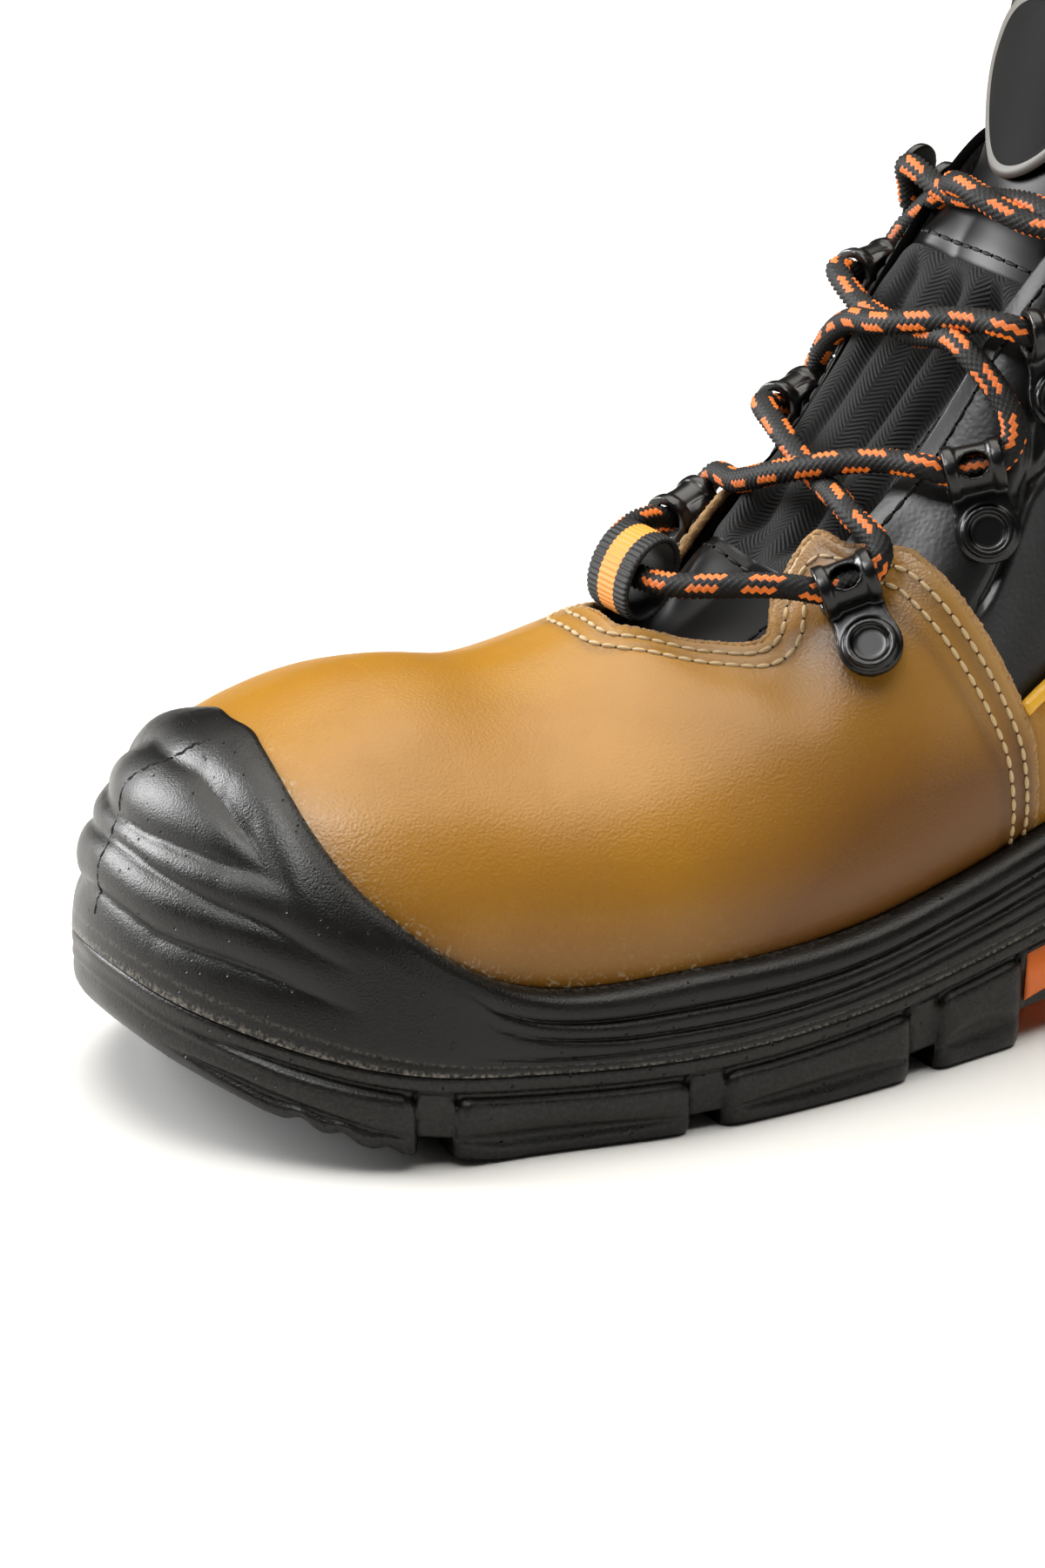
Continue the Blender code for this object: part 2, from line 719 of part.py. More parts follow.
def add_tongue_patch():
    """Plain oval patch near the tongue's free end."""
    rings = (0.0, 0.55, 1.0)
    turns = [k / PATCH_SIDES * 2 * math.pi for k in range(PATCH_SIDES)]
    nodes = [(0.0, 0.0)] + [(ring, turn) for ring in rings[1:] for turn in turns]
    faces = []
    for k in range(PATCH_SIDES):
        here, there = 1 + k, 1 + (k + 1) % PATCH_SIDES
        faces += [[0, here, there], [here, here + PATCH_SIDES, there + PATCH_SIDES, there]]

    def face(ring, turn, out):
        along = PATCH_CENTRE + PATCH_LENGTH * ring * math.sin(turn)
        return tongue_face(along, PATCH_WIDTH * ring * math.cos(turn), out)

    def front(ring, turn):
        return face(ring, turn, PATCH_GAP + PATCH)

    def back(ring, turn):
        return face(ring, turn, PATCH_GAP)

    solid("tongue_patch", (nodes, faces), front, back, BLACK_RUBBER)


def add_webbing_loop():
    """Ribbon bent into a ring across the front of the throat."""
    turns = [k / WEBBING_SIDES * 2 * math.pi for k in range(WEBBING_SIDES)]
    pattern = grid(turns, (-0.5, 0.5), ring=True)

    def ribbon(turn, across, inset):
        along, over = (half - inset for half in WEBBING_HALF)
        a, b = along * math.cos(turn), over * math.sin(turn)
        x = WEBBING_CENTRE[0] + a * math.cos(WEBBING_TILT) - b * math.sin(WEBBING_TILT)
        z = WEBBING_CENTRE[1] + a * math.sin(WEBBING_TILT) + b * math.cos(WEBBING_TILT)
        return np.array([x, across * WEBBING_WIDTH, z])

    def outer(turn, across):
        return ribbon(turn, across, 0.0)

    def inner(turn, across):
        return ribbon(turn, across, WEBBING_THICK)

    solid("webbing_loop", pattern, outer, inner, WEBBING)


def guide_frame(row, side):
    """Place of a lace guide: its middle, then its directions along the boot, up to the rim and out."""
    place = place_at(row.x)
    length = np.sum(np.linalg.norm(np.diff(section(place, side)[1], axis=0), axis=1))
    up = 1 - row.drop / length
    seat = 0.0 if place < vamp_back(up) else upper_out(place, up)
    normal = normal_at(place, side, up)
    rise = on_last(place, side, up + 0.02) - on_last(place, side, up - 0.02)
    rise -= normal * np.dot(rise, normal)
    rise /= np.linalg.norm(rise)
    forward = np.cross(rise, normal)
    return skin(place, side, up, seat + row.lift), forward, rise, normal


def guide_point(frame, along, up, out):
    middle, forward, rise, normal = frame
    return middle + along * forward + up * rise + out * normal


def cylinder(radius, depth, matrix):
    work = bmesh.new()
    bmesh.ops.create_cone(work, cap_ends=True, segments=ROUND_SIDES, radius1=radius * MM,
                          radius2=radius * MM, depth=depth * MM, matrix=matrix)
    mesh = bpy.data.meshes.new("tool")
    work.to_mesh(mesh)
    work.free()
    return mesh


def combine(base, steps):
    """Apply a list of Boolean steps to a mesh and return the result."""
    target = bpy.data.objects.new("target", base)
    bpy.context.collection.objects.link(target)
    tools = []
    for operation, mesh in steps:
        tool = bpy.data.objects.new("tool", mesh)
        bpy.context.collection.objects.link(tool)
        modifier = target.modifiers.new(operation, "BOOLEAN")
        modifier.operation = operation
        modifier.object = tool
        tools.append(tool)
    bpy.context.view_layer.update()
    result = bpy.data.meshes.new_from_object(target.evaluated_get(bpy.context.evaluated_depsgraph_get()))
    for thing in tools + [target]:
        bpy.data.objects.remove(thing)
    return result


def guide_plate(length, width, thick):
    """Plate with round ends, its underside at z = 0, long in y."""
    straight = (length - width) / 2
    turns = [k / 6 * math.pi for k in range(7)]
    rim = [(width / 2 * math.cos(t), straight + width / 2 * math.sin(t)) for t in turns]
    rim += [(-x, -y) for x, y in rim]
    count = len(rim)
    points = [(x * MM, y * MM, z * MM) for z in (0, thick) for x, y in rim]
    sides = [(k, (k + 1) % count, (k + 1) % count + count, k + count) for k in range(count)]
    return mesh_from("plate", points, sides + [range(count), range(count, 2 * count)])


def lace_loop_mesh():
    """Plate with a barrel that the lace runs through and the dished seat of a rivet."""
    lying = Matrix.Rotation(math.pi / 2, 4, "Y")
    barrel_at = Matrix.Translation(Vector((0, BARREL_UP, BARREL_HEIGHT)) * MM) @ lying
    seat = Matrix.Translation(Vector((0, RIVET_UP, GUIDE_PLATE)) * MM)
    dish = Matrix.Translation(Vector((0, RIVET_UP, GUIDE_PLATE + RIVET_HEIGHT)) * MM)
    window = Matrix.Translation(Vector((0, BARREL_UP, BARREL_HEIGHT + BARREL_RADIUS)) * MM)
    return combine(guide_plate(GUIDE_LENGTH, GUIDE_WIDTH, GUIDE_PLATE), [
        ("UNION", cylinder(BARREL_RADIUS, BARREL_LENGTH, barrel_at)),
        ("UNION", cylinder(RIVET_RADIUS, 2 * RIVET_HEIGHT, seat)),
        ("DIFFERENCE", cylinder(BORE_RADIUS, 1.4 * BARREL_LENGTH, barrel_at)),
        ("DIFFERENCE", cylinder(RIVET_RADIUS - RIVET_RIM, 2 * DISH, dish)),
        ("DIFFERENCE", cylinder(WINDOW_RADIUS, 1.1 * BARREL_RADIUS, window)),
    ])


def lace_hook_mesh():
    """Plate with a post and a wide head that the lace hooks under."""
    post = Matrix.Translation(Vector((0, POST_UP, POST_HEIGHT / 2)) * MM)
    head = Matrix.Translation(Vector((0, HEAD_UP, POST_HEIGHT + HEAD_THICK / 4)) * MM)
    return combine(guide_plate(HOOK_LENGTH, HOOK_WIDTH, GUIDE_PLATE), [
        ("UNION", cylinder(POST_RADIUS, POST_HEIGHT, post)),
        ("UNION", cylinder(HEAD_RADIUS, HEAD_THICK, head)),
    ])


def all_guides():
    """Names and rows of the lace guides of one side, from the lowest up."""
    return [(f"lace_loop_{k + 1}", row) for k, row in enumerate(LOOPS)] + [("lace_hook", HOOK)]


def add_guides():
    meshes = {"lace_loop": lace_loop_mesh(), "lace_hook": lace_hook_mesh()}
    for mesh in meshes.values():
        mesh.materials.clear()
        mesh.materials.append(ENAMEL)
        mesh.shade_smooth()
        mesh.set_sharp_from_angle(angle=math.radians(40))
    for name, row in all_guides():
        for side in (LATERAL, MEDIAL):
            middle, forward, rise, normal = guide_frame(row, side)
            turn = Matrix((side * forward, rise, normal)).transposed().to_4x4()
            thing = bpy.data.objects.new(f"{name}_{half_name(side)}", meshes[name[:9]])
            thing.matrix_world = Matrix.Translation(Vector((middle + SHIFT) * MM)) @ turn
            thing.parent = boot
            bpy.context.collection.objects.link(thing)


def mouth(level, side, forward_end):
    """Point just outside one mouth of a guide's barrel, or beside the hook's post."""
    frame = guide_frame(all_guides()[level][1], side)
    ahead = frame[1] * np.sign(frame[1][0])
    frame = (frame[0], ahead, frame[2], frame[3])
    reach = (BARREL_LENGTH / 2 + MOUTH_CLEARANCE + LACE_RADIUS) * (1 if forward_end else -1)
    return guide_point(frame, reach, MOUTH_UP, BARREL_HEIGHT + MOUTH_OUT)


def tube(points, radius=LACE_RADIUS, sides=6, samples=10):
    """Round cord through a few points, with flat ends."""
    points = np.array(points)
    shares = arc_shares(points)
    line = [[smooth(shares, points[:, k], s) for k in range(3)] for s in np.linspace(0, 1, samples)]
    runs = np.gradient(np.array(line), axis=0)
    runs /= np.linalg.norm(runs, axis=1)[:, None]
    beside = np.cross(runs[0], (0.0, 0.0, 1.0))
    verts = []
    for spot, run in zip(line, runs):
        beside = beside - run * np.dot(beside, run)
        beside /= np.linalg.norm(beside)
        over = np.cross(run, beside)
        for k in range(sides):
            turn = 2 * math.pi * k / sides
            verts.append((spot + radius * (math.cos(turn) * beside + math.sin(turn) * over) + SHIFT) * MM)
    faces = [range(sides), range(len(verts) - sides, len(verts))]
    for i in range(samples - 1):
        for k in range(sides):
            here, there = i * sides + k, i * sides + (k + 1) % sides
            faces.append((here, there, there + sides, here + sides))
    return mesh_from("cord", verts, faces)


def over_tongue(x, lift):
    """Point above the middle of the tongue at some x."""
    shares = arc_shares(np.array([(row.x, row.z) for row in TONGUE]))
    along = float(np.interp(-x, [-row.x for row in TONGUE], shares))
    return tongue_face(along, 0.0, lift + LACE_RADIUS)


def strand(low, high, side, lift):
    """Cord from a guide on one side to the next guide on the other, over both rims and the tongue."""
    def x_at(share):
        return low[0] + (high[0] - low[0]) * share

    def over_rim(share, rim_side):
        return skin(place_at(x_at(share)), rim_side, 1.0, LACE_RADIUS + RIM_CLEARANCE)

    middle = over_tongue(x_at(0.5), lift)
    return tube([low, over_rim(0.25, side), middle, over_rim(0.75, -side), high])


def add_laces():
    """Lowest bar through the ribbon loop, then a joined crossing above each pair of guides."""
    x, z = WEBBING_CENTRE
    held = [np.array([x, side * WEBBING_HOLD, z]) for side in (LATERAL, MEDIAL)]
    bar = tube([mouth(0, LATERAL, True), *held, mouth(0, MEDIAL, True)])
    make_object("lace_bar", bar, LACE)
    for level in range(len(LOOPS)):
        strands = []
        for side, lift in STRAND_LIFTS.items():
            low, high = mouth(level, side, False), mouth(level + 1, -side, True)
            strands.append(strand(low, high, side, lift))
        cross = combine(strands[0], [("UNION", strands[1])])
        make_object(f"lace_cross_{level + 1}", cross, LACE)


for old in list(bpy.data.objects):
    bpy.data.objects.remove(old)

boot = bpy.data.objects.new("boot", None)
bpy.context.collection.objects.link(boot)

BLACK_LEATHER = material("black leather", (0.012, 0.012, 0.013), 0.5)
TAN_LEATHER = material("tan leather", (0.36, 0.19, 0.05), 0.5)
BLACK_RUBBER = material("black rubber", (0.011, 0.011, 0.012), 0.6)
ORANGE_RUBBER = material("orange rubber", (0.75, 0.16, 0.02), 0.55)
BLACK_TEXTILE = material("black textile", (0.014, 0.014, 0.015), 0.85)
INSOLE_TEXTILE = material("insole textile", (0.03, 0.03, 0.032), 0.9)
WEBBING = material("webbing", (0.02, 0.02, 0.02), 0.8)
ENAMEL = material("black enamel", (0.01, 0.01, 0.01), 0.3)
LACE = material("lace", (0.02, 0.02, 0.02), 0.8)

add_outsole()
add_arch_bridge()
add_midsole()
add_insole()
add_upper()
add_vamp()
add_counter()
add_tongue()
add_tongue_patch()
add_webbing_loop()
add_guides()
add_laces()
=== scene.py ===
# %% [markdown]
# # A left safety boot
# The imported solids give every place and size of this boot. This script dresses them: each soft or
# moulded piece is made again on a finer mesh from the same tables as its solid, then gets its
# creases, seams, thread and finish. Lengths below are millimetres on the boot's own last, and they
# become metres only when a mesh is made.

# %% Load the frame
import math
from collections import namedtuple

import bmesh
import bpy
import numpy as np
from mathutils import Matrix, Vector
from mathutils.bvhtree import BVHTree


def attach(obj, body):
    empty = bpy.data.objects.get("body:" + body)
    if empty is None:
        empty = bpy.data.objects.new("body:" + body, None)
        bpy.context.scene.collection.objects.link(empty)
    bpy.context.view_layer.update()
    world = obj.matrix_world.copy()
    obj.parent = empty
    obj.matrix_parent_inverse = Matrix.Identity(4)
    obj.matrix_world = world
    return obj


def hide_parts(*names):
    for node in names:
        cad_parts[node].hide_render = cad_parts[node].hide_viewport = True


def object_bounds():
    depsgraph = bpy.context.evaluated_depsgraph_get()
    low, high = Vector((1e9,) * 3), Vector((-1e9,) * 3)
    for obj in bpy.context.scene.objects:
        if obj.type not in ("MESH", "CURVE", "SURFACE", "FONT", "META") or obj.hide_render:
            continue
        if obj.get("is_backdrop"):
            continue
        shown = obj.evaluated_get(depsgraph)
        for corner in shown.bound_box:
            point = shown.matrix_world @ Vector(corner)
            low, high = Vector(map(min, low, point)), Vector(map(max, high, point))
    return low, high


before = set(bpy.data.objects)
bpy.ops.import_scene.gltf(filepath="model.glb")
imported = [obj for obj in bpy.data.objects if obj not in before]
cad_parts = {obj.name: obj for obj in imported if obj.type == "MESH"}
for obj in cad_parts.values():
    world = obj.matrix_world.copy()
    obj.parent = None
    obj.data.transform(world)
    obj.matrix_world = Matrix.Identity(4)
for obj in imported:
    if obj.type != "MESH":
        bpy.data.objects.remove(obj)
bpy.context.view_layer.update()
MM = 0.001
# From the last's own origin to the boot's.
SHIFT = np.array([0.6, -5.67, 0.0])
LATERAL, MEDIAL = 1, -1
SIDES = (LATERAL, MEDIAL)
SIDE_NAMES = {LATERAL: "lateral", MEDIAL: "medial"}
print("nodes in the frame:", len(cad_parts))

# %% [markdown]
# ## Camera
# The boot stands with its outer side and toe towards us, seen a little from above with a long lens,
# which keeps the toe from looking swollen. A plain camera that looks at one point is enough.

# %% Camera
AIM = Vector((88.6, 39.3, 66.0)) * MM
AZIMUTH, ELEVATION = math.radians(152), math.radians(19)
DISTANCE, LENS = 0.85, 110.5
camera_data = bpy.data.cameras.new("camera")
camera_data.lens = LENS
camera = bpy.data.objects.new("camera", camera_data)
back = Vector((math.sin(AZIMUTH) * math.cos(ELEVATION), -math.cos(AZIMUTH) * math.cos(ELEVATION),
               math.sin(ELEVATION)))
camera.location = AIM + back * DISTANCE
camera.rotation_euler = (-back).to_track_quat("-Z", "Y").to_euler()
bpy.context.collection.objects.link(camera)
bpy.context.scene.camera = camera
print("camera", DISTANCE, "m from its aim")

# %% [markdown]
# ## Colours and nodes
# Every finish below is a small graph of shader nodes. A few helpers keep these graphs short: one
# turns the hex code of a colour into the linear light that Blender works with, one adds a node with
# its settings and links, and one starts a material from its Principled shader. Object coordinates
# count metres, so the last helper turns the real size of a grain into the scale of its pattern.

# %% Colours and nodes
def paint(code):
    """Colour of an sRGB hex code in linear light, for a node's socket."""
    channels = [int(code[k:k + 2], 16) / 255 for k in (1, 3, 5)]
    return (*(c / 12.92 if c <= 0.04045 else ((c + 0.055) / 1.055) ** 2.4 for c in channels), 1.0)


def add(tree, kind, inputs=None, **settings):
    """Add a node: inputs are values or sockets to link, settings are its own properties."""
    made = tree.nodes.new("ShaderNode" + kind)
    for name, value in settings.items():
        setattr(made, name, value)
    for key, value in (inputs or {}).items():
        if isinstance(value, bpy.types.NodeSocket):
            tree.links.new(value, made.inputs[key])
        else:
            made.inputs[key].default_value = value
    return made


def finish_named(name, **values):
    """A material with one Principled shader; values are set on its own sockets."""
    made = bpy.data.materials.new(name)
    made.use_nodes = True
    shader = made.node_tree.nodes["Principled BSDF"]
    for key, value in values.items():
        socket = shader.inputs[key.replace("_", " ")]
        socket.default_value = paint(value) if isinstance(value, str) else value
    return made, made.node_tree, shader


def repeats(millimetres):
    """Scale of a pattern whose grain has this size, in object coordinates."""
    return 1 / (millimetres * MM)


print("a grain of 1 mm has the scale", repeats(1.0))

# %% [markdown]
# ## Floor
# The boot stands on a white paper sweep. A very large plane does the same: its far edge lies below
# the horizon from every view, and its matt finish takes the shadow without mirroring the lamps.

# %% Floor
FLOOR_REACH = 40
floor_corners = [(-FLOOR_REACH, -FLOOR_REACH, 0), (FLOOR_REACH, -FLOOR_REACH, 0),
                 (FLOOR_REACH, FLOOR_REACH, 0), (-FLOOR_REACH, FLOOR_REACH, 0)]
floor_mesh = bpy.data.meshes.new("floor")
floor_mesh.from_pydata(floor_corners, [], [(0, 1, 2, 3)])
floor = bpy.data.objects.new("floor", floor_mesh)
bpy.context.collection.objects.link(floor)
floor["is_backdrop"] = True
# Uncoated paper: no shine, and just short of pure white.
paper, _, _ = finish_named("white paper sweep", Base_Color="#F4F4F3", Roughness=0.9)
floor_mesh.materials.append(paper)
print("floor", 2 * FLOOR_REACH, "m wide")

# %% [markdown]
# ## Light
# A catalogue picture is lit in a white tent. Here a warm glow overhead, part of the world's own
# background, gives the even light and the short soft shadow, and one softbox behind the toe gives
# shape. Black rubber and leather show by the pale panels that they mirror. Three such panels are
# hidden from diffuse rays, so they draw highlights without washing out the shadow on the floor.

# %% Light
GLOW_TOWARD = (-0.14, -0.12, 0.98)
GLOW_EDGE, GLOW_FULL = 0.74, 0.95
GLOW_DIM, GLOW_BRIGHT = 0.03, 5.2
TOE_SPOT, TOE_FLANK, SIDE_SPOT = (0.13, 0.0, 0.05), (0.12, 0.03, 0.05), (0.07, 0.04, 0.05)


def area_light(name, place, aim, size, watts):
    data = bpy.data.lights.new(name, "AREA")
    data.shape = "RECTANGLE"
    data.size, data.size_y = size
    data.energy = watts
    lamp = bpy.data.objects.new(name, data)
    lamp.location = place
    lamp.rotation_euler = (Vector(aim) - Vector(place)).to_track_quat("-Z", "Y").to_euler()
    bpy.context.collection.objects.link(lamp)
    return lamp


world = bpy.data.worlds.new("white room")
bpy.context.scene.world = world
world.use_nodes = True
sky = world.node_tree
way = add(sky, "TexCoord").outputs["Generated"]
toward = add(sky, "VectorMath", {0: way, 1: GLOW_TOWARD}, operation="DOT_PRODUCT")
glow = add(sky, "MapRange", {"Value": toward.outputs["Value"], "From Min": GLOW_EDGE,
                             "From Max": GLOW_FULL, "To Min": GLOW_DIM, "To Max": GLOW_BRIGHT},
           interpolation_type="SMOOTHSTEP")
background = sky.nodes["Background"]
sky.links.new(glow.outputs["Result"], background.inputs["Strength"])
background.inputs["Color"].default_value = paint("#FFFCF5")
area_light("back softbox", (0.68, -0.56, 0.46), TOE_SPOT, (0.45, 0.6), 7.0)
glints = [area_light("back strip", (0.63, -0.59, 0.42), TOE_SPOT, (0.45, 0.5), 14.0),
          area_light("side card", (-0.23, 0.99, 0.2), SIDE_SPOT, (0.6, 0.35), 1.25),
          area_light("front card", (0.42, 0.16, 0.67), TOE_FLANK, (0.26, 0.26), 4.5)]
for lamp in glints:
    lamp.visible_diffuse = False
bpy.context.scene.view_settings.view_transform = "Standard"

# %% [markdown]
# ## The last
# A boot is pulled over a last, so one surface carries every panel. A place runs along half of the
# outline: 0 is the toe tip, 1 the end of the toe curve, 2 the start of the heel curve, 3 the back
# of the heel. Up runs from 0 at the sole to 1 at the rim of the opening, and on to 2 at the ridge
# in front of the throat. Seams, creases and thread are then placed with these two numbers. The
# tables hold half widths and heights at a few places, and everything between them is a curve.

# %% Main sizes
TOE_CENTRE = 98.0
HEEL_CENTRE = -108.0
THROAT_X = 49.0
HALF_OUTLINE = (0.0, 78.0, 284.0, 346.0)
FLOOR = 6.0
LEATHER = 1.6
UPPER_WALL = 2.2
OVERLAY_GAP = 0.9
UPPER_OUTSIDE = -LEATHER - OVERLAY_GAP
UPPER_INSIDE = UPPER_OUTSIDE - UPPER_WALL
print("leather", LEATHER, "mm thick, wall of the upper", UPPER_WALL, "mm")

# %% The last's tables
LastRow = namedtuple("LastRow", "place lateral medial tuck bulge_z shoulder shoulder_z "
                     "roof roof_z edge edge_z ridge_z")
LAST = [
    LastRow(0.00, 48.5, 48.5, 5.0, 43, 0.80, 62.5, 0.50, 70.5, 0.165, 76.0, 76.8),
    LastRow(0.50, 48.5, 47.5, 5.0, 42, 0.80, 61.0, 0.50, 70.0, 0.165, 76.0, 76.8),
    LastRow(1.00, 52.5, 47.0, 5.0, 39, 0.82, 58.0, 0.52, 69.5, 0.155, 76.2, 77.0),
    LastRow(1.20, 59.0, 47.5, 5.0, 38, 0.82, 57.5, 0.52, 69.5, 0.140, 77.4, 78.2),
    LastRow(1.24, 59.0, 47.0, 5.0, 39, 0.82, 58.5, 0.54, 70.5, 0.140, 79.5, 80.6),
    LastRow(1.30, 58.5, 45.5, 6.0, 40, 0.81, 61.0, 0.60, 71.0, 0.300, 77.3, 83.0),
    LastRow(1.36, 57.3, 43.8, 6.6, 41, 0.80, 64.5, 0.60, 73.5, 0.420, 79.2, 88.0),
    LastRow(1.395, 56.4, 42.3, 7.0, 42, 0.80, 67.5, 0.58, 80.5, 0.430, 88.5, 96.0),
    LastRow(1.50, 53.0, 39.5, 8.0, 46, 0.82, 84.0, 0.60, 102.0, 0.450, 110.0, 119.0),
    LastRow(1.60, 48.5, 37.5, 8.0, 50, 0.86, 100.0, 0.68, 128.0, 0.520, 139.0, 150.0),
    LastRow(1.70, 45.0, 37.5, 7.0, 53, 0.88, 104.0, 0.78, 140.0, 0.640, 158.0, 190.0),
    LastRow(1.85, 42.5, 38.5, 6.0, 55, 0.87, 104.0, 0.85, 134.0, 0.870, 154.0, 200.0),
    LastRow(2.00, 41.0, 38.5, 5.0, 56, 0.86, 104.0, 0.85, 132.0, 0.900, 151.0, 200.0),
    LastRow(2.50, 40.0, 39.0, 5.0, 56, 0.82, 104.0, 0.82, 132.0, 0.890, 151.0, 200.0),
    LastRow(3.00, 40.0, 40.0, 5.0, 56, 0.80, 104.0, 0.80, 132.0, 0.880, 153.0, 200.0),
]
SoleRow = namedtuple("SoleRow", "place lateral medial wall_top")
SOLE = [
    SoleRow(0.00, 53.8, 53.8, 70.0),
    SoleRow(0.25, 54.0, 53.8, 69.0),
    SoleRow(0.50, 55.0, 53.0, 63.0),
    SoleRow(0.75, 56.8, 52.0, 47.5),
    SoleRow(1.00, 58.0, 51.5, 33.5),
    SoleRow(1.20, 63.5, 52.0, 30.5),
    SoleRow(1.37, 61.5, 47.5, 32.0),
    SoleRow(1.48, 57.5, 44.0, 36.5),
    SoleRow(1.60, 53.0, 42.0, 42.0),
    SoleRow(1.72, 49.0, 42.0, 45.0),
    SoleRow(1.86, 46.8, 43.0, 47.0),
    SoleRow(2.00, 45.5, 43.5, 48.0),
    SoleRow(2.50, 45.0, 44.0, 48.0),
    SoleRow(3.00, 45.0, 45.0, 48.0),
]
HeightRow = namedtuple("HeightRow", "x welt tread")
HEIGHTS = [
    HeightRow(-155.0, 29.0, 5.0),
    HeightRow(-138.0, 29.0, 0.0),
    HeightRow(-108.0, 29.0, 0.0),
    HeightRow(-79.0, 28.5, 0.0),
    HeightRow(-50.0, 27.0, 0.0),
    HeightRow(-25.0, 24.5, 0.0),
    HeightRow(-1.0, 20.5, 0.0),
    HeightRow(22.0, 17.5, 0.0),
    HeightRow(57.0, 15.3, 0.0),
    HeightRow(98.0, 16.8, 0.0),
    HeightRow(120.0, 20.0, 3.5),
    HeightRow(137.0, 24.5, 10.0),
    HeightRow(148.0, 28.5, 16.0),
    HeightRow(155.0, 32.0, 21.0),
]
print("sections of the last:", len(LAST), "of the sole:", len(SOLE))

# %% [markdown]
# ## Curves between the tables
# A few values become a soft line by a cubic through them. It is worked out with numpy, for whole
# arrays of places at once, because a fine mesh asks for many thousands of points.

# %% Curves between the tables
def column(rows, name):
    return np.array([getattr(row, name) for row in rows], float)


def hermite(t, steps, start, end, start_slope, end_slope):
    first = (1 + 2 * t) * (1 - t) ** 2 * start + t * (1 - t) ** 2 * steps * start_slope
    return first + t * t * (3 - 2 * t) * end + t * t * (t - 1) * steps * end_slope


def smooth(knots, values, at):
    """A smooth curve through the values, level at both ends."""
    knots, values, at = (np.asarray(v, float) for v in (knots, values, at))
    steps = np.diff(knots)
    slopes = np.diff(values) / steps
    tangents = np.zeros_like(values)
    tangents[1:-1] = (slopes[:-1] * steps[1:] + slopes[1:] * steps[:-1]) / (steps[1:] + steps[:-1])
    i = np.clip(np.searchsorted(knots, at) - 1, 0, len(knots) - 2)
    t = (at - knots[i]) / steps[i]
    return hermite(t, steps[i], values[i], values[i + 1], tangents[i], tangents[i + 1])


def ease(value, low, high):
    """0 below low, 1 above high, with a soft ramp between."""
    t = np.clip((np.asarray(value, float) - low) / (high - low), 0, 1)
    return t * t * (3 - 2 * t)


def hump(value, middle, width):
    """1 at the middle, falling softly to 0 on both sides."""
    return np.exp(-((value - middle) / width) ** 2)


def along_outline(rows, name, place):
    lengths = np.interp(column(rows, "place"), (0, 1, 2, 3), HALF_OUTLINE)
    return smooth(lengths, column(rows, name), np.interp(place, (0, 1, 2, 3), HALF_OUTLINE))


def welt(x):
    return smooth(column(HEIGHTS, "x"), column(HEIGHTS, "welt"), x)


def tread(x):
    return np.interp(x, column(HEIGHTS, "x"), column(HEIGHTS, "tread"))


STRAIGHT_MM = TOE_CENTRE - HEEL_CENTRE


def place_at(x):
    return 1 + (TOE_CENTRE - np.asarray(x, float)) / STRAIGHT_MM


THROAT = float(place_at(THROAT_X))
print("the throat starts at place", round(THROAT, 3))

# %% [markdown]
# ## Sections of the last
# Each place has one curve from the sole over the widest line to the rim, and one from the rim to
# the ridge. They are given as distances from the boot's axis and heights, so the round toe and
# heel need no tables of their own.

# %% Sections of the last
SECTION_STEPS = 25


def spread(place, side, radius):
    """Turn a distance from the boot's axis into x and y."""
    place, radius = np.broadcast_arrays(np.asarray(place, float), np.asarray(radius, float))
    middle = TOE_CENTRE - STRAIGHT_MM * np.clip(place - 1, 0, 1)
    angle = np.where(place <= 1, place, np.where(place <= 2, 1, place - 1)) * math.pi / 2
    across = np.where((place == 0) | (place == 3), 0, np.sin(angle))
    return middle + radius * np.cos(angle), side * radius * across


def arc_shares(points):
    """Shares of the way along a line of points, and its length."""
    lengths = np.linalg.norm(np.diff(points, axis=-2), axis=-1).cumsum(-1)
    lengths = np.concatenate([np.zeros_like(lengths[..., :1]), lengths], -1)
    return lengths / lengths[..., -1:], lengths[..., -1]


def section(place, side):
    """Curves up the boot at each place: sole to rim, and rim to ridge, as radius and height."""
    half = along_outline(LAST, SIDE_NAMES[side], place)
    feather = half - along_outline(LAST, "tuck", place)
    shares = [along_outline(LAST, name, place) for name in ("shoulder", "roof", "edge")]
    heights = [along_outline(LAST, name, place)
               for name in ("bulge_z", "shoulder_z", "roof_z", "edge_z", "ridge_z")]
    radii = [feather, half, *(half * share for share in shares), 0 * half]
    heights = [welt(spread(place, side, feather)[0]) + FLOOR, *heights]
    levels = np.stack([np.stack(radii, -1), np.stack(heights, -1)], -1)
    steps = np.sqrt(np.linalg.norm(np.diff(levels, axis=1), axis=2))[..., None]
    slopes = np.diff(levels, axis=1) / steps
    tangents = np.zeros_like(levels)
    weighted = slopes[:, :-1] * steps[:, 1:] + slopes[:, 1:] * steps[:, :-1]
    tangents[:, 1:-1] = weighted / (steps[:, 1:] + steps[:, :-1])
    tangents[:, 0] = 1.5 * slopes[:, 0] - 0.5 * tangents[:, 1]
    tangents[:, -1, 0] = slopes[:, -1, 0]
    t = np.linspace(0, 1, SECTION_STEPS)[:, None]
    curve = hermite(t, steps[:, :, None], levels[:, :-1, None], levels[:, 1:, None],
                    tangents[:, :-1, None], tangents[:, 1:, None])
    wall = np.concatenate([curve[:, 0], *(curve[:, k, 1:] for k in (1, 2, 3))], axis=1)
    return wall, curve[:, 4]


toe_wall = section(np.zeros(1), LATERAL)[0][0]
print("leather from sole to rim at the toe tip:", round(float(arc_shares(toe_wall)[1])), "mm")

# %% [markdown]
# ## Points on the last
# Every later piece asks for points by place and up. Working out a section for each would be slow,
# so the last is measured once at many places, and points are read between those measures.

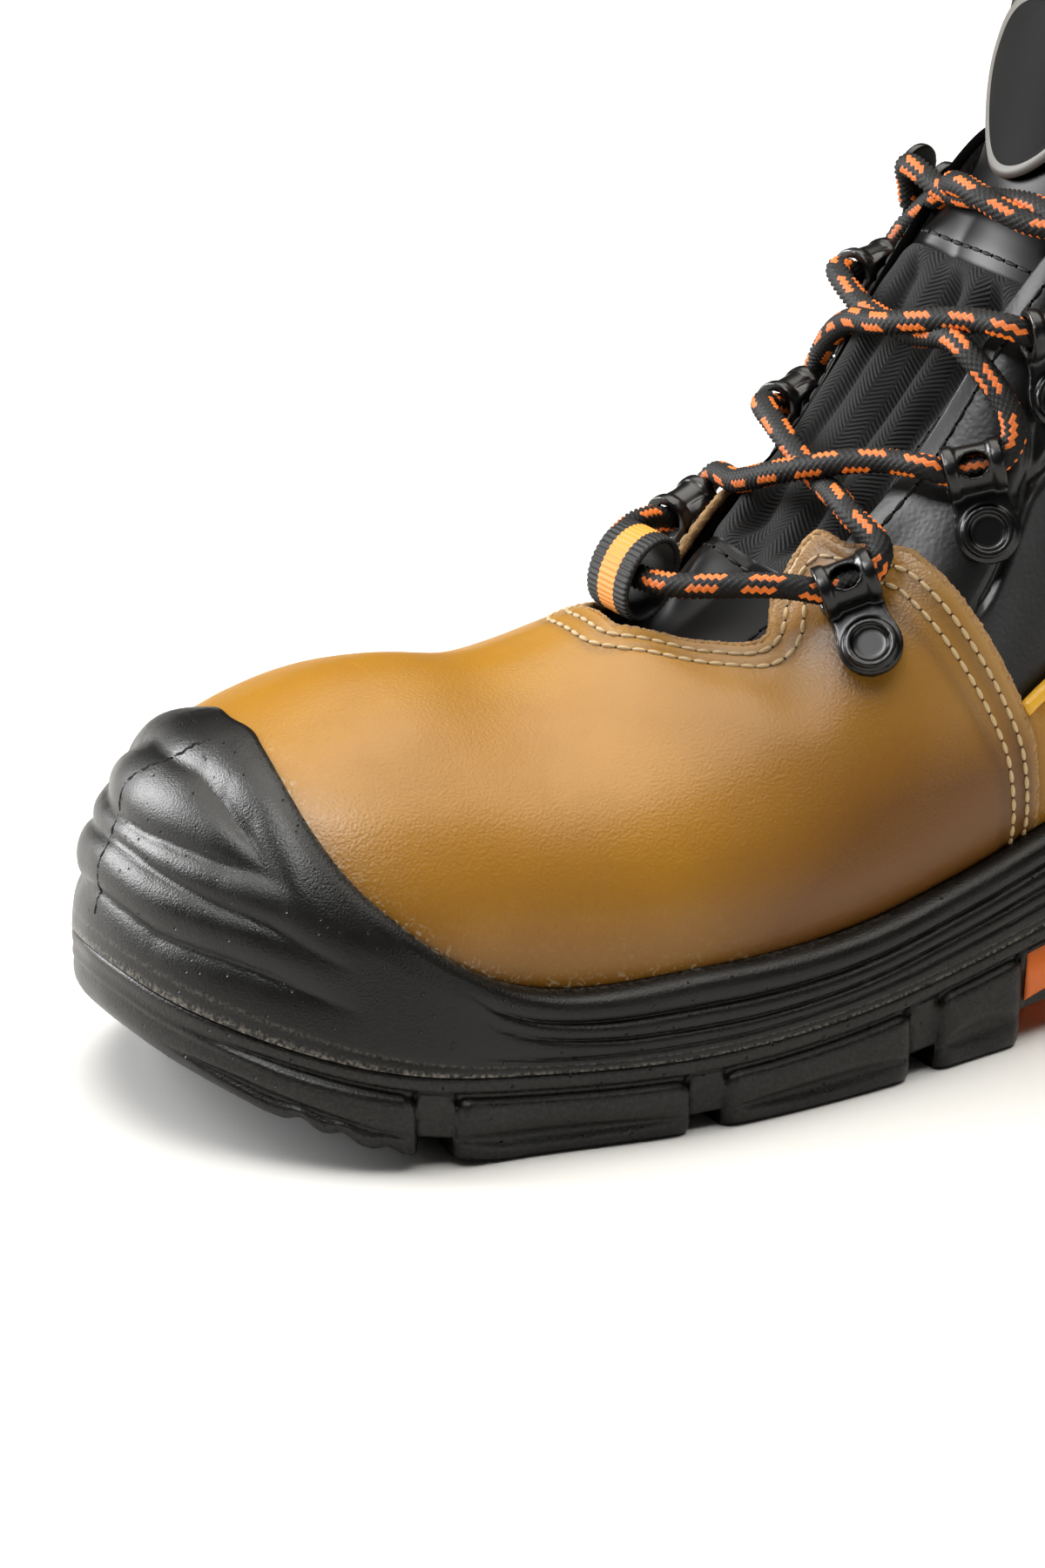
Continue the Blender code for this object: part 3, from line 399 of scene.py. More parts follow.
# %% Measuring the last
FINE = 400
FINE_PLACES = np.linspace(0, 3, 3 * FINE + 1)
FINE_ROWS, FINE_HEIGHTS = 241, 301
LOW_Z, HIGH_Z = 15.0, 165.0
Fine = namedtuple("Fine", "wall_radius wall_z roof_radius roof_z up length")


def look_up(table, place, row):
    """Value of a table between its places and rows."""
    column_at = np.clip(place * FINE, 0, table.shape[0] - 1.000001)
    row_at = np.clip(row, 0, 1) * (table.shape[1] - 1) * 0.9999999
    i, j = column_at.astype(int), row_at.astype(int)
    a, b = column_at - i, row_at - j
    near = (1 - b) * table[i, j] + b * table[i, j + 1]
    return (1 - a) * near + a * ((1 - b) * table[i + 1, j] + b * table[i + 1, j + 1])


def fine_tables(side):
    """The last measured once at many places, so that later pieces can read it quickly."""
    walls, roofs = section(FINE_PLACES, side)
    at, heights = np.linspace(0, 1, FINE_ROWS), np.linspace(LOW_Z, HIGH_Z, FINE_HEIGHTS)
    found = [[] for _ in Fine._fields]
    for wall, roof in zip(walls, roofs):
        (shares, length), (over, _) = arc_shares(wall), arc_shares(roof)
        values = [np.interp(at, shares, wall[:, 0]), np.interp(at, shares, wall[:, 1]),
                  np.interp(at, over, roof[:, 0]), np.interp(at, over, roof[:, 1]),
                  np.interp(heights, wall[:, 1], shares), np.full(2, length)]
        for rows, value in zip(found, values):
            rows.append(value)
    return Fine(*(np.array(rows) for rows in found))


TABLES = {side: fine_tables(side) for side in SIDES}
print("the last is measured at", len(FINE_PLACES), "places on each side")

# %% Points on the last
NORMAL_STEP = 0.004


def on_last(place, side, up):
    """Points on the last itself."""
    place, up = np.broadcast_arrays(np.asarray(place, float), np.asarray(up, float))
    fine = TABLES[side]
    low = up <= 1
    radius = np.where(low, look_up(fine.wall_radius, place, up),
                      look_up(fine.roof_radius, place, up - 1))
    z = np.where(low, look_up(fine.wall_z, place, up), look_up(fine.roof_z, place, up - 1))
    x, y = spread(place, side, radius)
    return np.stack([x, y, z], -1)


def normal_at(place, side, up):
    """Directions out of the last, from two short steps along it."""
    place, up = np.broadcast_arrays(np.asarray(place, float), np.asarray(up, float))
    last_place, top = np.where(up > 1, THROAT, 3.0), np.where(up > 1, 2.0, 1.0)
    ahead = on_last(np.minimum(place + NORMAL_STEP, last_place), side, up)
    ahead = ahead - on_last(np.maximum(place - NORMAL_STEP, 0), side, up)
    above = on_last(place, side, np.minimum(up + NORMAL_STEP, top))
    above = above - on_last(place, side, np.maximum(up - NORMAL_STEP, 0))
    normal = side * np.cross(ahead, above)
    normal[(place == 0) | (place == 3) | (up >= 2), 1] = 0
    normal[(up >= 2) & (place <= 1)] = (0, 0, 1)
    return normal / np.linalg.norm(normal, axis=-1, keepdims=True)


def skin(place, side, up, out=0.0):
    """Points on the outside of the leather, moved out by some millimetres, never under the sole."""
    point = on_last(place, side, up) + np.asarray(out)[..., None] * normal_at(place, side, up)
    point[..., 2] = np.maximum(point[..., 2], welt(point[..., 0]) + FLOOR)
    return point


def height_to_up(place, side, z):
    share = (np.asarray(z) - LOW_Z) / (HIGH_Z - LOW_Z)
    return look_up(TABLES[side].up, np.asarray(place, float), share)


def wall_length(place, side):
    """Millimetres from the sole to the rim, over the leather."""
    return look_up(TABLES[side].length, np.asarray(place, float), np.zeros(np.shape(place)))


print("half outline of the last:", HALF_OUTLINE[-1], "mm")

# %% [markdown]
# ## Meshes
# Every piece of this boot becomes a mesh in the same way: points in millimetres, faces, finishes,
# and marks such as dust that a finish reads later. The helper also lets the piece ride with the
# boot's one body, and hides the solids it stands for.

# %% Meshes
def grid_faces(rows, columns):
    k = np.arange(rows * columns).reshape(rows, columns)
    return np.stack([k[:-1, :-1], k[1:, :-1], k[1:, 1:], k[:-1, 1:]], -1)


def make_piece(name, points, faces, finishes, numbers=None, nodes=(), slot=None, marks=None, uv=None):
    """Make a mesh from millimetre points, let it ride with the boot and stand for its solid."""
    mesh = bpy.data.meshes.new(name)
    mesh.from_pydata(((np.asarray(points) + SHIFT) * MM).tolist(), [], faces)
    for key, values in (marks or {}).items():
        mark = mesh.attributes.new(key, "FLOAT", "POINT")
        mark.data.foreach_set("value", np.asarray(values, np.float32))
    for finish in finishes:
        mesh.materials.append(finish)
    if numbers is not None:
        mesh.polygons.foreach_set("material_index", np.asarray(numbers, np.int32))
    if uv is not None:
        corners = np.zeros(len(mesh.loops), np.int32)
        mesh.loops.foreach_get("vertex_index", corners)
        layer = mesh.uv_layers.new(name="cloth")
        layer.data.foreach_set("uv", np.asarray(uv, np.float32)[corners].ravel())
    work = bmesh.new()
    work.from_mesh(mesh)
    bmesh.ops.delete(work, geom=[v for v in work.verts if not v.link_faces], context="VERTS")
    bmesh.ops.recalc_face_normals(work, faces=work.faces)
    work.to_mesh(mesh)
    work.free()
    mesh.shade_smooth()
    made = bpy.data.objects.new(name, mesh)
    bpy.context.collection.objects.link(made)
    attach(made, "root")
    if nodes:
        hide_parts(*nodes)
    print(name, len(mesh.polygons), "faces")
    return made


def stations(toe, straight, heel):
    """Places all along half of the outline, with so many steps in the toe, side and heel."""
    return np.concatenate([np.linspace(0, 1, toe + 1)[:-1], np.linspace(1, 2, straight + 1)[:-1],
                           np.linspace(2, 3, heel + 1)])


print("one step in each stretch:", stations(1, 1, 1))

# %% [markdown]
# ## Shells
# Cut leather, rubber and padding are all sheets with two faces and an edge. A Solidify modifier
# could thicken a sheet, but not with a wall that changes from place to place. So one helper closes
# a front and a back grid of points into a shell, joins the lateral and medial halves where they
# meet, and gives front, back and edge their own finish.

# %% Shells
def shell(name, sheets, finishes, keep=None, marks=None, colours=None, uv=None, **rest):
    """Close the space between grids of points, given as (front, back) for each side of the boot."""
    front = np.concatenate([f.reshape(-1, 3) for f, _ in sheets])
    behind = np.concatenate([b.reshape(-1, 3) for _, b in sheets])
    faces, chosen, start = [], [], 0
    for k, (sheet, _) in enumerate(sheets):
        found = grid_faces(*sheet.shape[:2]) + start
        mask = np.ones(found.shape[:2], bool) if keep is None else keep[k]
        turned = found if k == 0 else found[..., ::-1]
        faces.append(turned[mask])
        chosen.append((np.zeros(mask.shape, int) if colours is None else colours[k])[mask])
        start += sheet.shape[0] * sheet.shape[1]
    _, first, same = np.unique(front.round(2), axis=0, return_index=True, return_inverse=True)
    same = same.ravel()
    fronts, kept = [], []
    for face, colour in zip(same[np.concatenate(faces)].tolist(), np.concatenate(chosen).tolist()):
        face = list(dict.fromkeys(face))
        if len(face) > 2:
            fronts.append(face)
            kept.append(colour)
    count = len(first)
    used = {(f[k - 1], f[k]) for f in fronts for k in range(len(f))}
    rim = sorted((a, b) for a, b in used if (b, a) not in used)
    edges = [[b, a, a + count, b + count] for a, b in rim]
    backs = [[k + count for k in reversed(f)] for f in fronts]
    inside, edge = (0, 0) if colours is not None else (min(k, len(finishes) - 1) for k in (1, 2))
    numbers = kept + [inside] * len(backs) + [edge] * len(edges)
    points = np.concatenate([front[first], behind[first]])
    marks = {key: np.tile(np.concatenate([m.ravel() for m in value])[first], 2)
             for key, value in (marks or {}).items()}
    if uv is not None:
        uv = np.tile(uv.reshape(-1, 2)[first], (2, 1))
    return make_piece(name, points, fronts + backs + edges, finishes, numbers, marks=marks, uv=uv, **rest)


print("a shell has a finish in front, one behind and one on its edge")

# %% [markdown]
# ## Moulded rubber
# The sole is polyurethane, poured into a steel mould round the lasted upper. An image of rubber
# would stretch over the round toe, so noise in object coordinates gives the skin its speckle,
# smears, dust and pin holes. A mark on the mesh says where dust lies.

# %% Moulded rubber finish
# A satin skin: the eye gets deep black with broad soft highlights. The speckle is really about
# 0.2 mm wide and is drawn coarser so that it shows; air bubbles prick the skin every few millimetres.
SPECKLE, SMEAR, SOLE_GRIT, BUBBLE_SPACING = 0.4167, 11.11, 0.7692, 3.03
rubber, tree, shader = finish_named("moulded polyurethane", Roughness=0.36, Specular_IOR_Level=0.28,
                                    IOR=1.5)
coords = add(tree, "TexCoord").outputs["Object"]
dusty = add(tree, "Attribute", attribute_name="dust").outputs["Fac"]
speckle = add(tree, "TexNoise", {"Vector": coords, "Scale": repeats(SPECKLE), "Detail": 3.0})
smear = add(tree, "TexNoise", {"Vector": coords, "Scale": repeats(SMEAR), "Detail": 4.0})
grit = add(tree, "TexNoise", {"Vector": coords, "Scale": repeats(SOLE_GRIT), "Detail": 3.0})
grains = add(tree, "MapRange", {"Value": grit.outputs["Fac"], "From Min": 0.42, "From Max": 0.66})
film = add(tree, "Math", {0: grains.outputs["Result"], 1: dusty}, operation="MULTIPLY")
dusted = add(tree, "Mix", {0: film.outputs[0], 6: paint("#0A0907"), 7: paint("#857F75")},
             data_type="RGBA")
tree.links.new(dusted.outputs[2], shader.inputs["Base Color"])
bubbles = add(tree, "TexVoronoi", {"Vector": coords, "Scale": repeats(BUBBLE_SPACING)})
pits = add(tree, "MapRange", {"Value": bubbles.outputs["Distance"], "From Min": 0.06, "From Max": 0.12})
rough = add(tree, "MapRange", {"Value": smear.outputs["Fac"], "From Min": 0.3, "From Max": 0.7,
                               "To Min": 0.3, "To Max": 0.42})
tree.links.new(rough.outputs["Result"], shader.inputs["Roughness"])
fine = add(tree, "Bump", {"Height": speckle.outputs["Fac"], "Strength": 0.36, "Distance": 0.3 * MM})
broad = add(tree, "Bump", {"Height": smear.outputs["Fac"], "Strength": 0.14, "Distance": 0.6 * MM,
                           "Normal": fine.outputs["Normal"]})
pricked = add(tree, "Bump", {"Height": pits.outputs["Result"], "Strength": 0.9, "Distance": 0.5 * MM,
                             "Normal": broad.outputs["Normal"]})
tree.links.new(pricked.outputs["Normal"], shader.inputs["Normal"])
print("finish:", rubber.name)

# %% [markdown]
# ## Creases and ribs of the wall
# The wall's face rises into a bumper over the toe cap. Four creases sweep round the bumper and long
# ribs run along the side. A sculpted or textured wall would do, but these forms catch the light, so
# they are real: each crease is a line of places and heights with its own depth, and between two
# lines a rib swells like a pillow. What they take away is measured from the wall's plain outline.

# %% Creases and ribs
Crease = namedtuple("Crease", "width line")
CREASES = [
    Crease(3.0, [(0.00, 0.15, 1.9), (0.17, 0.15, 2.4), (0.30, 0.18, 2.7),
                 (0.42, 0.235, 2.4), (0.56, 0.33, 0.0)]),
    Crease(3.0, [(0.00, 0.42, 2.2), (0.10, 0.42, 2.6), (0.23, 0.40, 2.8),
                 (0.38, 0.37, 2.4), (0.58, 0.28, 0.0)]),
    Crease(2.4, [(0.00, 0.51, 1.8), (0.19, 0.53, 2.3), (0.39, 0.52, 2.3),
                 (0.53, 0.48, 1.8), (0.70, 0.42, 0.0)]),
    Crease(2.6, [(0.00, 0.72, 1.7), (0.21, 0.765, 2.2), (0.42, 0.72, 2.2),
                 (0.52, 0.70, 1.8), (0.72, 0.66, 0.0)]),
]
RibRow = namedtuple("RibRow", "place first second third")
RIBS = [
    RibRow(0.92, 0.20, 0.30, 0.80),
    RibRow(1.03, 0.36, 0.57, 0.83),
    RibRow(1.11, 0.40, 0.64, 0.84),
    RibRow(1.23, 0.41, 0.66, 0.83),
    RibRow(1.33, 0.40, 0.64, 0.80),
    RibRow(1.43, 0.36, 0.59, 0.78),
    RibRow(1.60, 0.33, 0.56, 0.76),
    RibRow(3.00, 0.33, 0.56, 0.76),
]
RIB_DEPTHS = (2.2, 1.8, 1.2, 0.4)
RIBS_BEGIN, FLANGE_BEGINS = (0.9, 1.12), (0.45, 1.0)
FLANGE_AT, FLANGE_CUT, FLANGE_WIDTH = 0.905, 0.3, 0.7
RIM_ROUND = [(0.0, 2.2), (0.03, 1.35), (0.06, 0.85), (0.1, 0.5), (0.18, 0.2), (0.26, 0.0), (1.0, 0.0)]


def rib_cut(place, down):
    """Long rounded ribs along the side: each swells between the two lines that bound it."""
    lines = [np.interp(place, column(RIBS, "place"), column(RIBS, name)) for name in RibRow._fields[1:]]
    bounds = [np.zeros(place.shape), *lines, np.ones(place.shape)]
    cut = np.zeros(place.shape)
    for low, high, depth in zip(bounds[:-1], bounds[1:], RIB_DEPTHS):
        across = np.clip((down - low) / (high - low), 0, 1) * 2 - 1
        cut += np.where((down >= low) & (down < high), depth * (1 - np.sqrt(1 - across ** 2)), 0)
    return cut * ease(place, *RIBS_BEGIN)


def wall_cut(place, down, height):
    """How far the wall's face lies inside its plain outline."""
    cut = np.interp(down, *np.transpose(RIM_ROUND)) + rib_cut(place, down)
    for width, line in CREASES:
        at, middle, depth = np.transpose(line)
        away = np.abs(down - np.interp(place, at, middle)) * height
        shown = np.interp(place, at, depth, left=0, right=0)
        cut = cut + shown * np.exp(-away / width)
    away = (down - FLANGE_AT) * height
    lip = FLANGE_CUT * ease(place, *FLANGE_BEGINS)
    return cut + lip * np.exp(-np.abs(away) / FLANGE_WIDTH)


print("creases round the bumper:", len(CREASES), "ribs along the side:", len(RIB_DEPTHS))

# %% [markdown]
# ## Midsole
# The midsole is a cup: an outer wall, an inner wall that hugs the leather, and a floor. Both are
# grids of points on the last, moved out by the wall's reach, and the shell helper closes them.

# %% Midsole
SOLE_GAP, FLOOR_GAP = 0.85, 0.9
RIM_REACH, LEAST_REACH, WALL_FLARE = 3.4, 3.0, 0.7
RIM_HUG, HUG_RUN = 0.1, 0.12
UNDER_SHARES = (0.15, 0.5, 1.0)


def sole_wall(place, side, z, out):
    """Points outside the leather: they follow the last above its widest line and stand up below."""
    half = along_outline(LAST, SIDE_NAMES[side], place)
    x, y = spread(place, side, half + out)
    upright = np.stack([x, y, z], -1)
    leaning = skin(place, side, height_to_up(place, side, z), out)
    low = z < along_outline(LAST, "bulge_z", place)
    return np.where(low[..., None], upright, leaning)


def midsole_sheets(side, places, down):
    place, rows = np.meshgrid(places, down, indexing="ij")
    radius = along_outline(SOLE, SIDE_NAMES[side], place)
    top = along_outline(SOLE, "wall_top", place)
    x, _ = spread(place, side, radius)
    height = top - welt(x)
    reach = np.maximum(radius - along_outline(LAST, SIDE_NAMES[side], place), LEAST_REACH)
    envelope = RIM_REACH + (reach - RIM_REACH) * rows ** WALL_FLARE
    outer = sole_wall(place, side, top - height * rows, envelope - wall_cut(place, rows, height))
    foot = skin(places, side, np.zeros(len(places)), np.full(len(places), SOLE_GAP))
    inward = np.linspace(0, 1, len(down))
    z = top + (foot[:, None, 2] - top) * inward
    hug = RIM_HUG + (SOLE_GAP - RIM_HUG) * ease(inward, 0.0, HUG_RUN) + 0 * place
    inner = skin(place, side, height_to_up(place, side, z), hug)
    place, share = np.meshgrid(places, UNDER_SHARES, indexing="ij")
    x, y = spread(place, side, along_outline(SOLE, SIDE_NAMES[side], place) * (1 - share))
    under = np.stack([x, y, welt(x)], -1)
    centre = spread(places, side, 0.0)[0][:, None]
    x, y = centre + (foot[:, None, 0] - centre) * (1 - share), foot[:, None, 1] * (1 - share)
    floor_inside = np.stack([x, y, welt(x) + FLOOR - FLOOR_GAP], -1)
    return np.concatenate([outer, under], 1), np.concatenate([inner, floor_inside], 1)


def sole_dust(places, down):
    """Where pale dust lies on the wall: on its flange, and thinly on the rim."""
    place, rows = np.meshgrid(places, down, indexing="ij")
    flange = 0.8 * hump(rows, 0.99, 0.022) + 0.3 * hump(rows, FLANGE_AT, 0.012)
    rim = 0.6 * np.exp(-rows / 0.01) * ease(place, 0.25, 0.6) * ease(-place, -1.5, -1.2)
    clean = np.zeros((len(places), len(UNDER_SHARES)))
    return np.concatenate([np.maximum(flange, rim), clean], 1)


down = np.concatenate([np.linspace(0, 0.06, 6)[:-1], np.linspace(0.06, 0.86, 54)[:-1],
                       np.linspace(0.86, 1, 16)])
places = stations(80, 120, 36)
sheets = [midsole_sheets(side, places, down) for side in SIDES]
dust = sole_dust(places, down)
midsole = shell("midsole_moulded", sheets, [rubber], marks={"dust": [dust, dust]}, nodes=["midsole"],
                slot="sole_rubber")

# %% [markdown]
# ## Where the lugs are
# Under the midsole lies a harder rubber plate with a band round it and big lugs that grip mud. The
# gaps between lugs are given along the boot, and places near a gap are set closer together, because
# the mould rounds every corner there.

# %% Where the lugs are
# Play between pieces, the plate's thickness, the band's height and how deep the plate's top lies.
GAP, PLATE, BAND, BED = 0.3, 4.5, 3.2, 1.2
GAP_CENTRES, GAP_HALF, GAP_DRAFT = (110.5, 59.0, 10.5, -76.0, -103.0), 3.2, 0.8
WAIST = (-14.0, -53.0)
CORNER = 2.8
CORNER_STEPS = (0, 0.25, 0.7, 1.4, CORNER)
SCALLOPS, SCALLOP_HALF, SCALLOP_RISE = (0.58, 0.67, 0.76), 2.2, 1.5
SCALLOP_STEPS = (-0.03, -0.02, -0.01, 0.0, 0.01, 0.02, 0.03)
TOE_CURVE_MM = 84.0
LEAST_STEP = 0.003


def outline_place(x):
    """Place whose point on the sole's lateral outline has this x, also on the toe curve."""
    if x <= TOE_CENTRE:
        return float(place_at(x))
    return math.acos((x - TOE_CENTRE) / float(along_outline(SOLE, "lateral", 0.9))) / (math.pi / 2)


def outline_mm(place):
    """Millimetres along the sole's outline for one unit of place."""
    return TOE_CURVE_MM if place < 1 else STRAIGHT_MM


gaps = [(outline_place(x + GAP_HALF), outline_place(x - GAP_HALF)) for x in GAP_CENTRES]
gaps.insert(3, (float(place_at(WAIST[0])), float(place_at(WAIST[1]))))
lugs = list(zip([0.0] + [g[1] for g in gaps], [g[0] for g in gaps] + [3.0]))
cuts = [place + way * step / outline_mm(place) for g in gaps for place, way in zip(g, (-1, 1))
        for step in CORNER_STEPS]
cuts += [n + step for n in SCALLOPS for step in SCALLOP_STEPS]
base = [p for p in stations(48, 100, 30) if all(abs(p - c) > LEAST_STEP for c in cuts)]
tread_places = np.array(sorted(base + cuts))


def lug_at(place):
    """Share of the way along a lug, and how far the place is from the lug's nearer end, in mm."""
    for low, high in lugs:
        if low < place < high or place in (0.0, 3.0) and place in (low, high):
            near = min(place - low if low > 0 else 9, high - place if high < 3 else 9)
            return (place - low) / (high - low), near * outline_mm(place)
    return None, 0.0


print("lugs on each side:", len(lugs), "columns of points:", len(tread_places))

# %% [markdown]
# ## Shape of the lugs
# Seen from the side, a lug's face is hollowed by a long lens towards the ground. Boolean cuts would
# leave hard, uneven edges, so the outsole is one grid instead: a column of points runs from the axis
# over the plate, down the edge and back under, and in a gap the same points lift to the plate.

# %% Shape of the lugs
LUG_SHARE, CHANNEL_SHARE, CHANNEL_DRAFT = 0.46, 0.56, 0.02
LENS_DEPTH, LENS_AT, FACE_STEPS = 1.5, 0.66, 18
GAP_INSET, GAP_FOOT = 1.6, 0.45


def lug_face(radius, top, ground, soft, recess, eye, scallop):
    """Insets and heights down a lug's face and under it to the channel."""
    face = [(recess * 0.9 + soft, top), (recess * 0.4 + soft, top - 0.25),
            (recess * 0.2 + soft, top - 1.0)]
    for step in np.linspace(0.08, 1, FACE_STEPS):
        z = top - 1.0 + (ground + 1.2 - top + 1.0) * step
        away = (step - LENS_AT) / (0.05 + 0.13 * eye)
        groove = LENS_DEPTH * eye ** 0.6 * math.exp(-away * away)
        swell = 0.3 * (1 - (2 * step - 1) ** 2)
        inset = 0.4 + soft + 0.5 * step ** 4 - swell + groove
        face.append((inset, z + scallop * max(step - 0.6, 0) * 2.5))
    low = face[-1][0]
    return face + [(low + 0.5, ground + 0.35 + scallop), (low + 1.3, ground + scallop),
                   (radius * 0.25, ground), (radius * LUG_SHARE, ground)]


def gap_face(radius, rim, foot, count):
    """The same number of points down a gap and under the plate."""
    heights = np.linspace(rim - BAND - 0.8, foot, count - 3)
    face = [(GAP_INSET + 0.04 * k, z) for k, z in enumerate(heights)]
    return face + [(radius * share, rim - PLATE) for share in (0.2, 0.25, LUG_SHARE)]


def outsole_column(place, side):
    """Points from the axis over the top, down the edge and back under to the axis."""
    radius = float(along_outline(SOLE, SIDE_NAMES[side], place))
    rim = float(welt(spread(place, side, radius)[0]))
    ground = float(tread(spread(place, side, radius)[0]))
    share, near = lug_at(place)
    raised = share is None
    turned = max(CORNER - near, 0)
    soft = CORNER - math.sqrt(CORNER ** 2 - turned ** 2)
    scallop = sum(SCALLOP_RISE * math.exp(-((place - n) * TOE_CURVE_MM / SCALLOP_HALF) ** 2)
                  for n in SCALLOPS)
    stepped = float(ease(place, 0.28, 0.6))
    wall, recess = 0.9 * stepped, 0.15 + 2.1 * stepped
    top = rim - BAND - 0.9 - 0.6 * stepped - soft
    eye = math.sin(math.pi * share) if not raised else 0.0
    eye *= float(ease(place, 0.25, 0.5))
    band = [(radius, rim - BED), (radius * 0.5, rim - BED), (2.5, rim - BED), (wall + 0.6, rim - GAP),
            (wall + 0.1, rim - GAP - 0.5), (wall, rim - BAND / 2), (wall + 0.1, rim - BAND + 0.6),
            (max(wall + 0.2, min(0.5, recess)), rim - BAND), (recess, rim - BAND - 0.5)]
    face = lug_face(radius, top, ground, soft, recess, eye, scallop)
    if raised:
        face = gap_face(radius, rim, ground + GAP_FOOT * (top - ground), len(face))
    middle_ground = rim - PLATE if raised and not (place <= 1 or place >= 2) else ground
    under = [(radius * (LUG_SHARE + CHANNEL_DRAFT), rim - PLATE), (radius * CHANNEL_SHARE, rim - PLATE),
             (radius * (CHANNEL_SHARE + CHANNEL_DRAFT), rim - PLATE if raised else ground),
             (radius, middle_ground)]
    points = []
    for inset, z in band + face + under:
        x, y = spread(place, side, radius - inset)
        on_top, at_axis = z > rim - PLATE / 2, inset > radius * 0.15
        follows = at_axis and (on_top or abs(z - rim + PLATE) < 0.01)
        shift = float(welt(x)) - rim if follows else 0.0
        if at_axis and z == ground:
            shift = float(tread(x)) - ground
        points.append((float(x), float(y), z + shift))
    return points


outsole_halves = [np.array([outsole_column(p, side) for p in tread_places]) for side in SIDES]
print("outsole rows", outsole_halves[0].shape[1])

# %% [markdown]
# ## Outsole
# The two halves already close on themselves, so they only have to be joined along the axis. The
# outsole is the same polyurethane as the wall, with a thin even film of dust.

# %% Outsole
OUTSOLE_DUST = 0.05


def skinned(name, sheets, finishes, dust, **rest):
    """Join grids that already close on themselves into one mesh."""
    points = np.concatenate([s.reshape(-1, 3) for s in sheets])
    faces, start = [], 0
    for k, sheet in enumerate(sheets):
        found = grid_faces(*sheet.shape[:2]).reshape(-1, 4) + start
        faces += (found if k == 0 else found[:, ::-1]).tolist()
        start += sheet.shape[0] * sheet.shape[1]
    _, first, same = np.unique(points.round(2), axis=0, return_index=True, return_inverse=True)
    same = same.ravel()
    kept = [list(dict.fromkeys(same[f].tolist())) for f in faces]
    kept = [f for f in kept if len(f) > 2]
    marks = {"dust": np.full(len(first), dust)}
    return make_piece(name, points[first], kept, finishes, marks=marks, **rest)


skinned("outsole_lugged", outsole_halves, [rubber], OUTSOLE_DUST, nodes=["outsole"], slot="sole_rubber")

# %% [markdown]
# ## Arch bridge
# Under the waist the sole carries an orange block between the forefoot and heel lugs. Only its
# outer face and underside show, so it is a small shell with its lower rim rounded.

# %% Arch bridge
# The same polyurethane, dyed: a plain, half matt orange.
orange_rubber, _, _ = finish_named("orange polyurethane", Base_Color="#E8701C", Roughness=0.5)
ARCH_UNDERSIDE, ARCH_RISE, ARCH_INSET = 8.0, 2.5, 1.5
ARCH_ENDS = (WAIST[0] - GAP - GAP_DRAFT, WAIST[1] + GAP + GAP_DRAFT)
ARCH_SHARES = (0, 0.012, 0.04, 0.3, 0.65, 1)
ARCH_ROUND = (1.6, 0.5, 0.0)


def arch_sheets(side):
    places = place_at(np.linspace(*ARCH_ENDS, 25))
    place, share = np.meshgrid(places, ARCH_SHARES, indexing="ij")
    radius = along_outline(SOLE, SIDE_NAMES[side], place) - ARCH_INSET
    x, y = spread(place, side, radius * (1 - share))
    middle = sum(ARCH_ENDS) / 2
    rise = 1 - ((x - middle) / (ARCH_ENDS[0] - middle)) ** 2
    lift = np.interp(share, ARCH_SHARES[:3], ARCH_ROUND)
    under = np.stack([x, y, ARCH_UNDERSIDE + ARCH_RISE * rise + lift], -1)
    return under, np.stack([x, y, welt(x) - PLATE - GAP], -1)


shell("arch_block", [arch_sheets(side) for side in SIDES], [orange_rubber], nodes=["arch_bridge"],
      slot="arch_rubber")

# %% [markdown]
# ## Black leather and lining
# The upper is smooth, pigmented leather with a knitted lining. A cellular pattern makes both: fine
# and shallow for the pores of the hide, coarser and deeper for the loops of the knit.

# %% Black leather and lining finishes
# Pigmented leather: black with a quiet shine that varies a little from place to place.
PORES, HAZE, KNIT_LOOPS = 0.8696, 16.67, 1.4286
black_leather, tree, shader = finish_named("smooth black leather", Base_Color="#0F0F10", Roughness=0.36,
                                           Specular_IOR_Level=0.42)
coords = add(tree, "TexCoord").outputs["Object"]
pores = add(tree, "TexVoronoi", {"Vector": coords, "Scale": repeats(PORES)}, feature="SMOOTH_F1")
haze = add(tree, "TexNoise", {"Vector": coords, "Scale": repeats(HAZE), "Detail": 3.0})
rough = add(tree, "MapRange", {"Value": haze.outputs["Fac"], "From Min": 0.3, "From Max": 0.7,
                               "To Min": 0.3, "To Max": 0.42})
tree.links.new(rough.outputs["Result"], shader.inputs["Roughness"])
bump = add(tree, "Bump", {"Height": pores.outputs["Distance"], "Strength": 0.1, "Distance": 0.3 * MM})
tree.links.new(bump.outputs["Normal"], shader.inputs["Normal"])

# Knitted polyester: dark grey, with a soft bloom of loose fibre.
lining, tree, shader = finish_named("knitted lining", Base_Color="#2A2A2C", Roughness=0.95,
                                    Sheen_Weight=0.3)
coords = add(tree, "TexCoord").outputs["Object"]
knit = add(tree, "TexVoronoi", {"Vector": coords, "Scale": repeats(KNIT_LOOPS)})
bump = add(tree, "Bump", {"Height": knit.outputs["Distance"], "Strength": 0.5, "Distance": 0.5 * MM})
tree.links.new(bump.outputs["Normal"], shader.inputs["Normal"])

# Edge paint: it seals a cut edge and takes all shine from it.
edge_paint, _, _ = finish_named("black edge paint", Base_Color="#0A0A0A", Roughness=0.8,
                                Specular_IOR_Level=0.0)
print("finishes:", black_leather.name, lining.name, edge_paint.name)

# %% [markdown]
# ## Upper
# The black upper is one shell: leather outside, lining inside, with a padded collar. Around each
# lace guide the leather is pressed into a crescent, and shallow quilting lines cross the collar.
# Both are small moves of the points along their normals, which is quicker than sculpting.

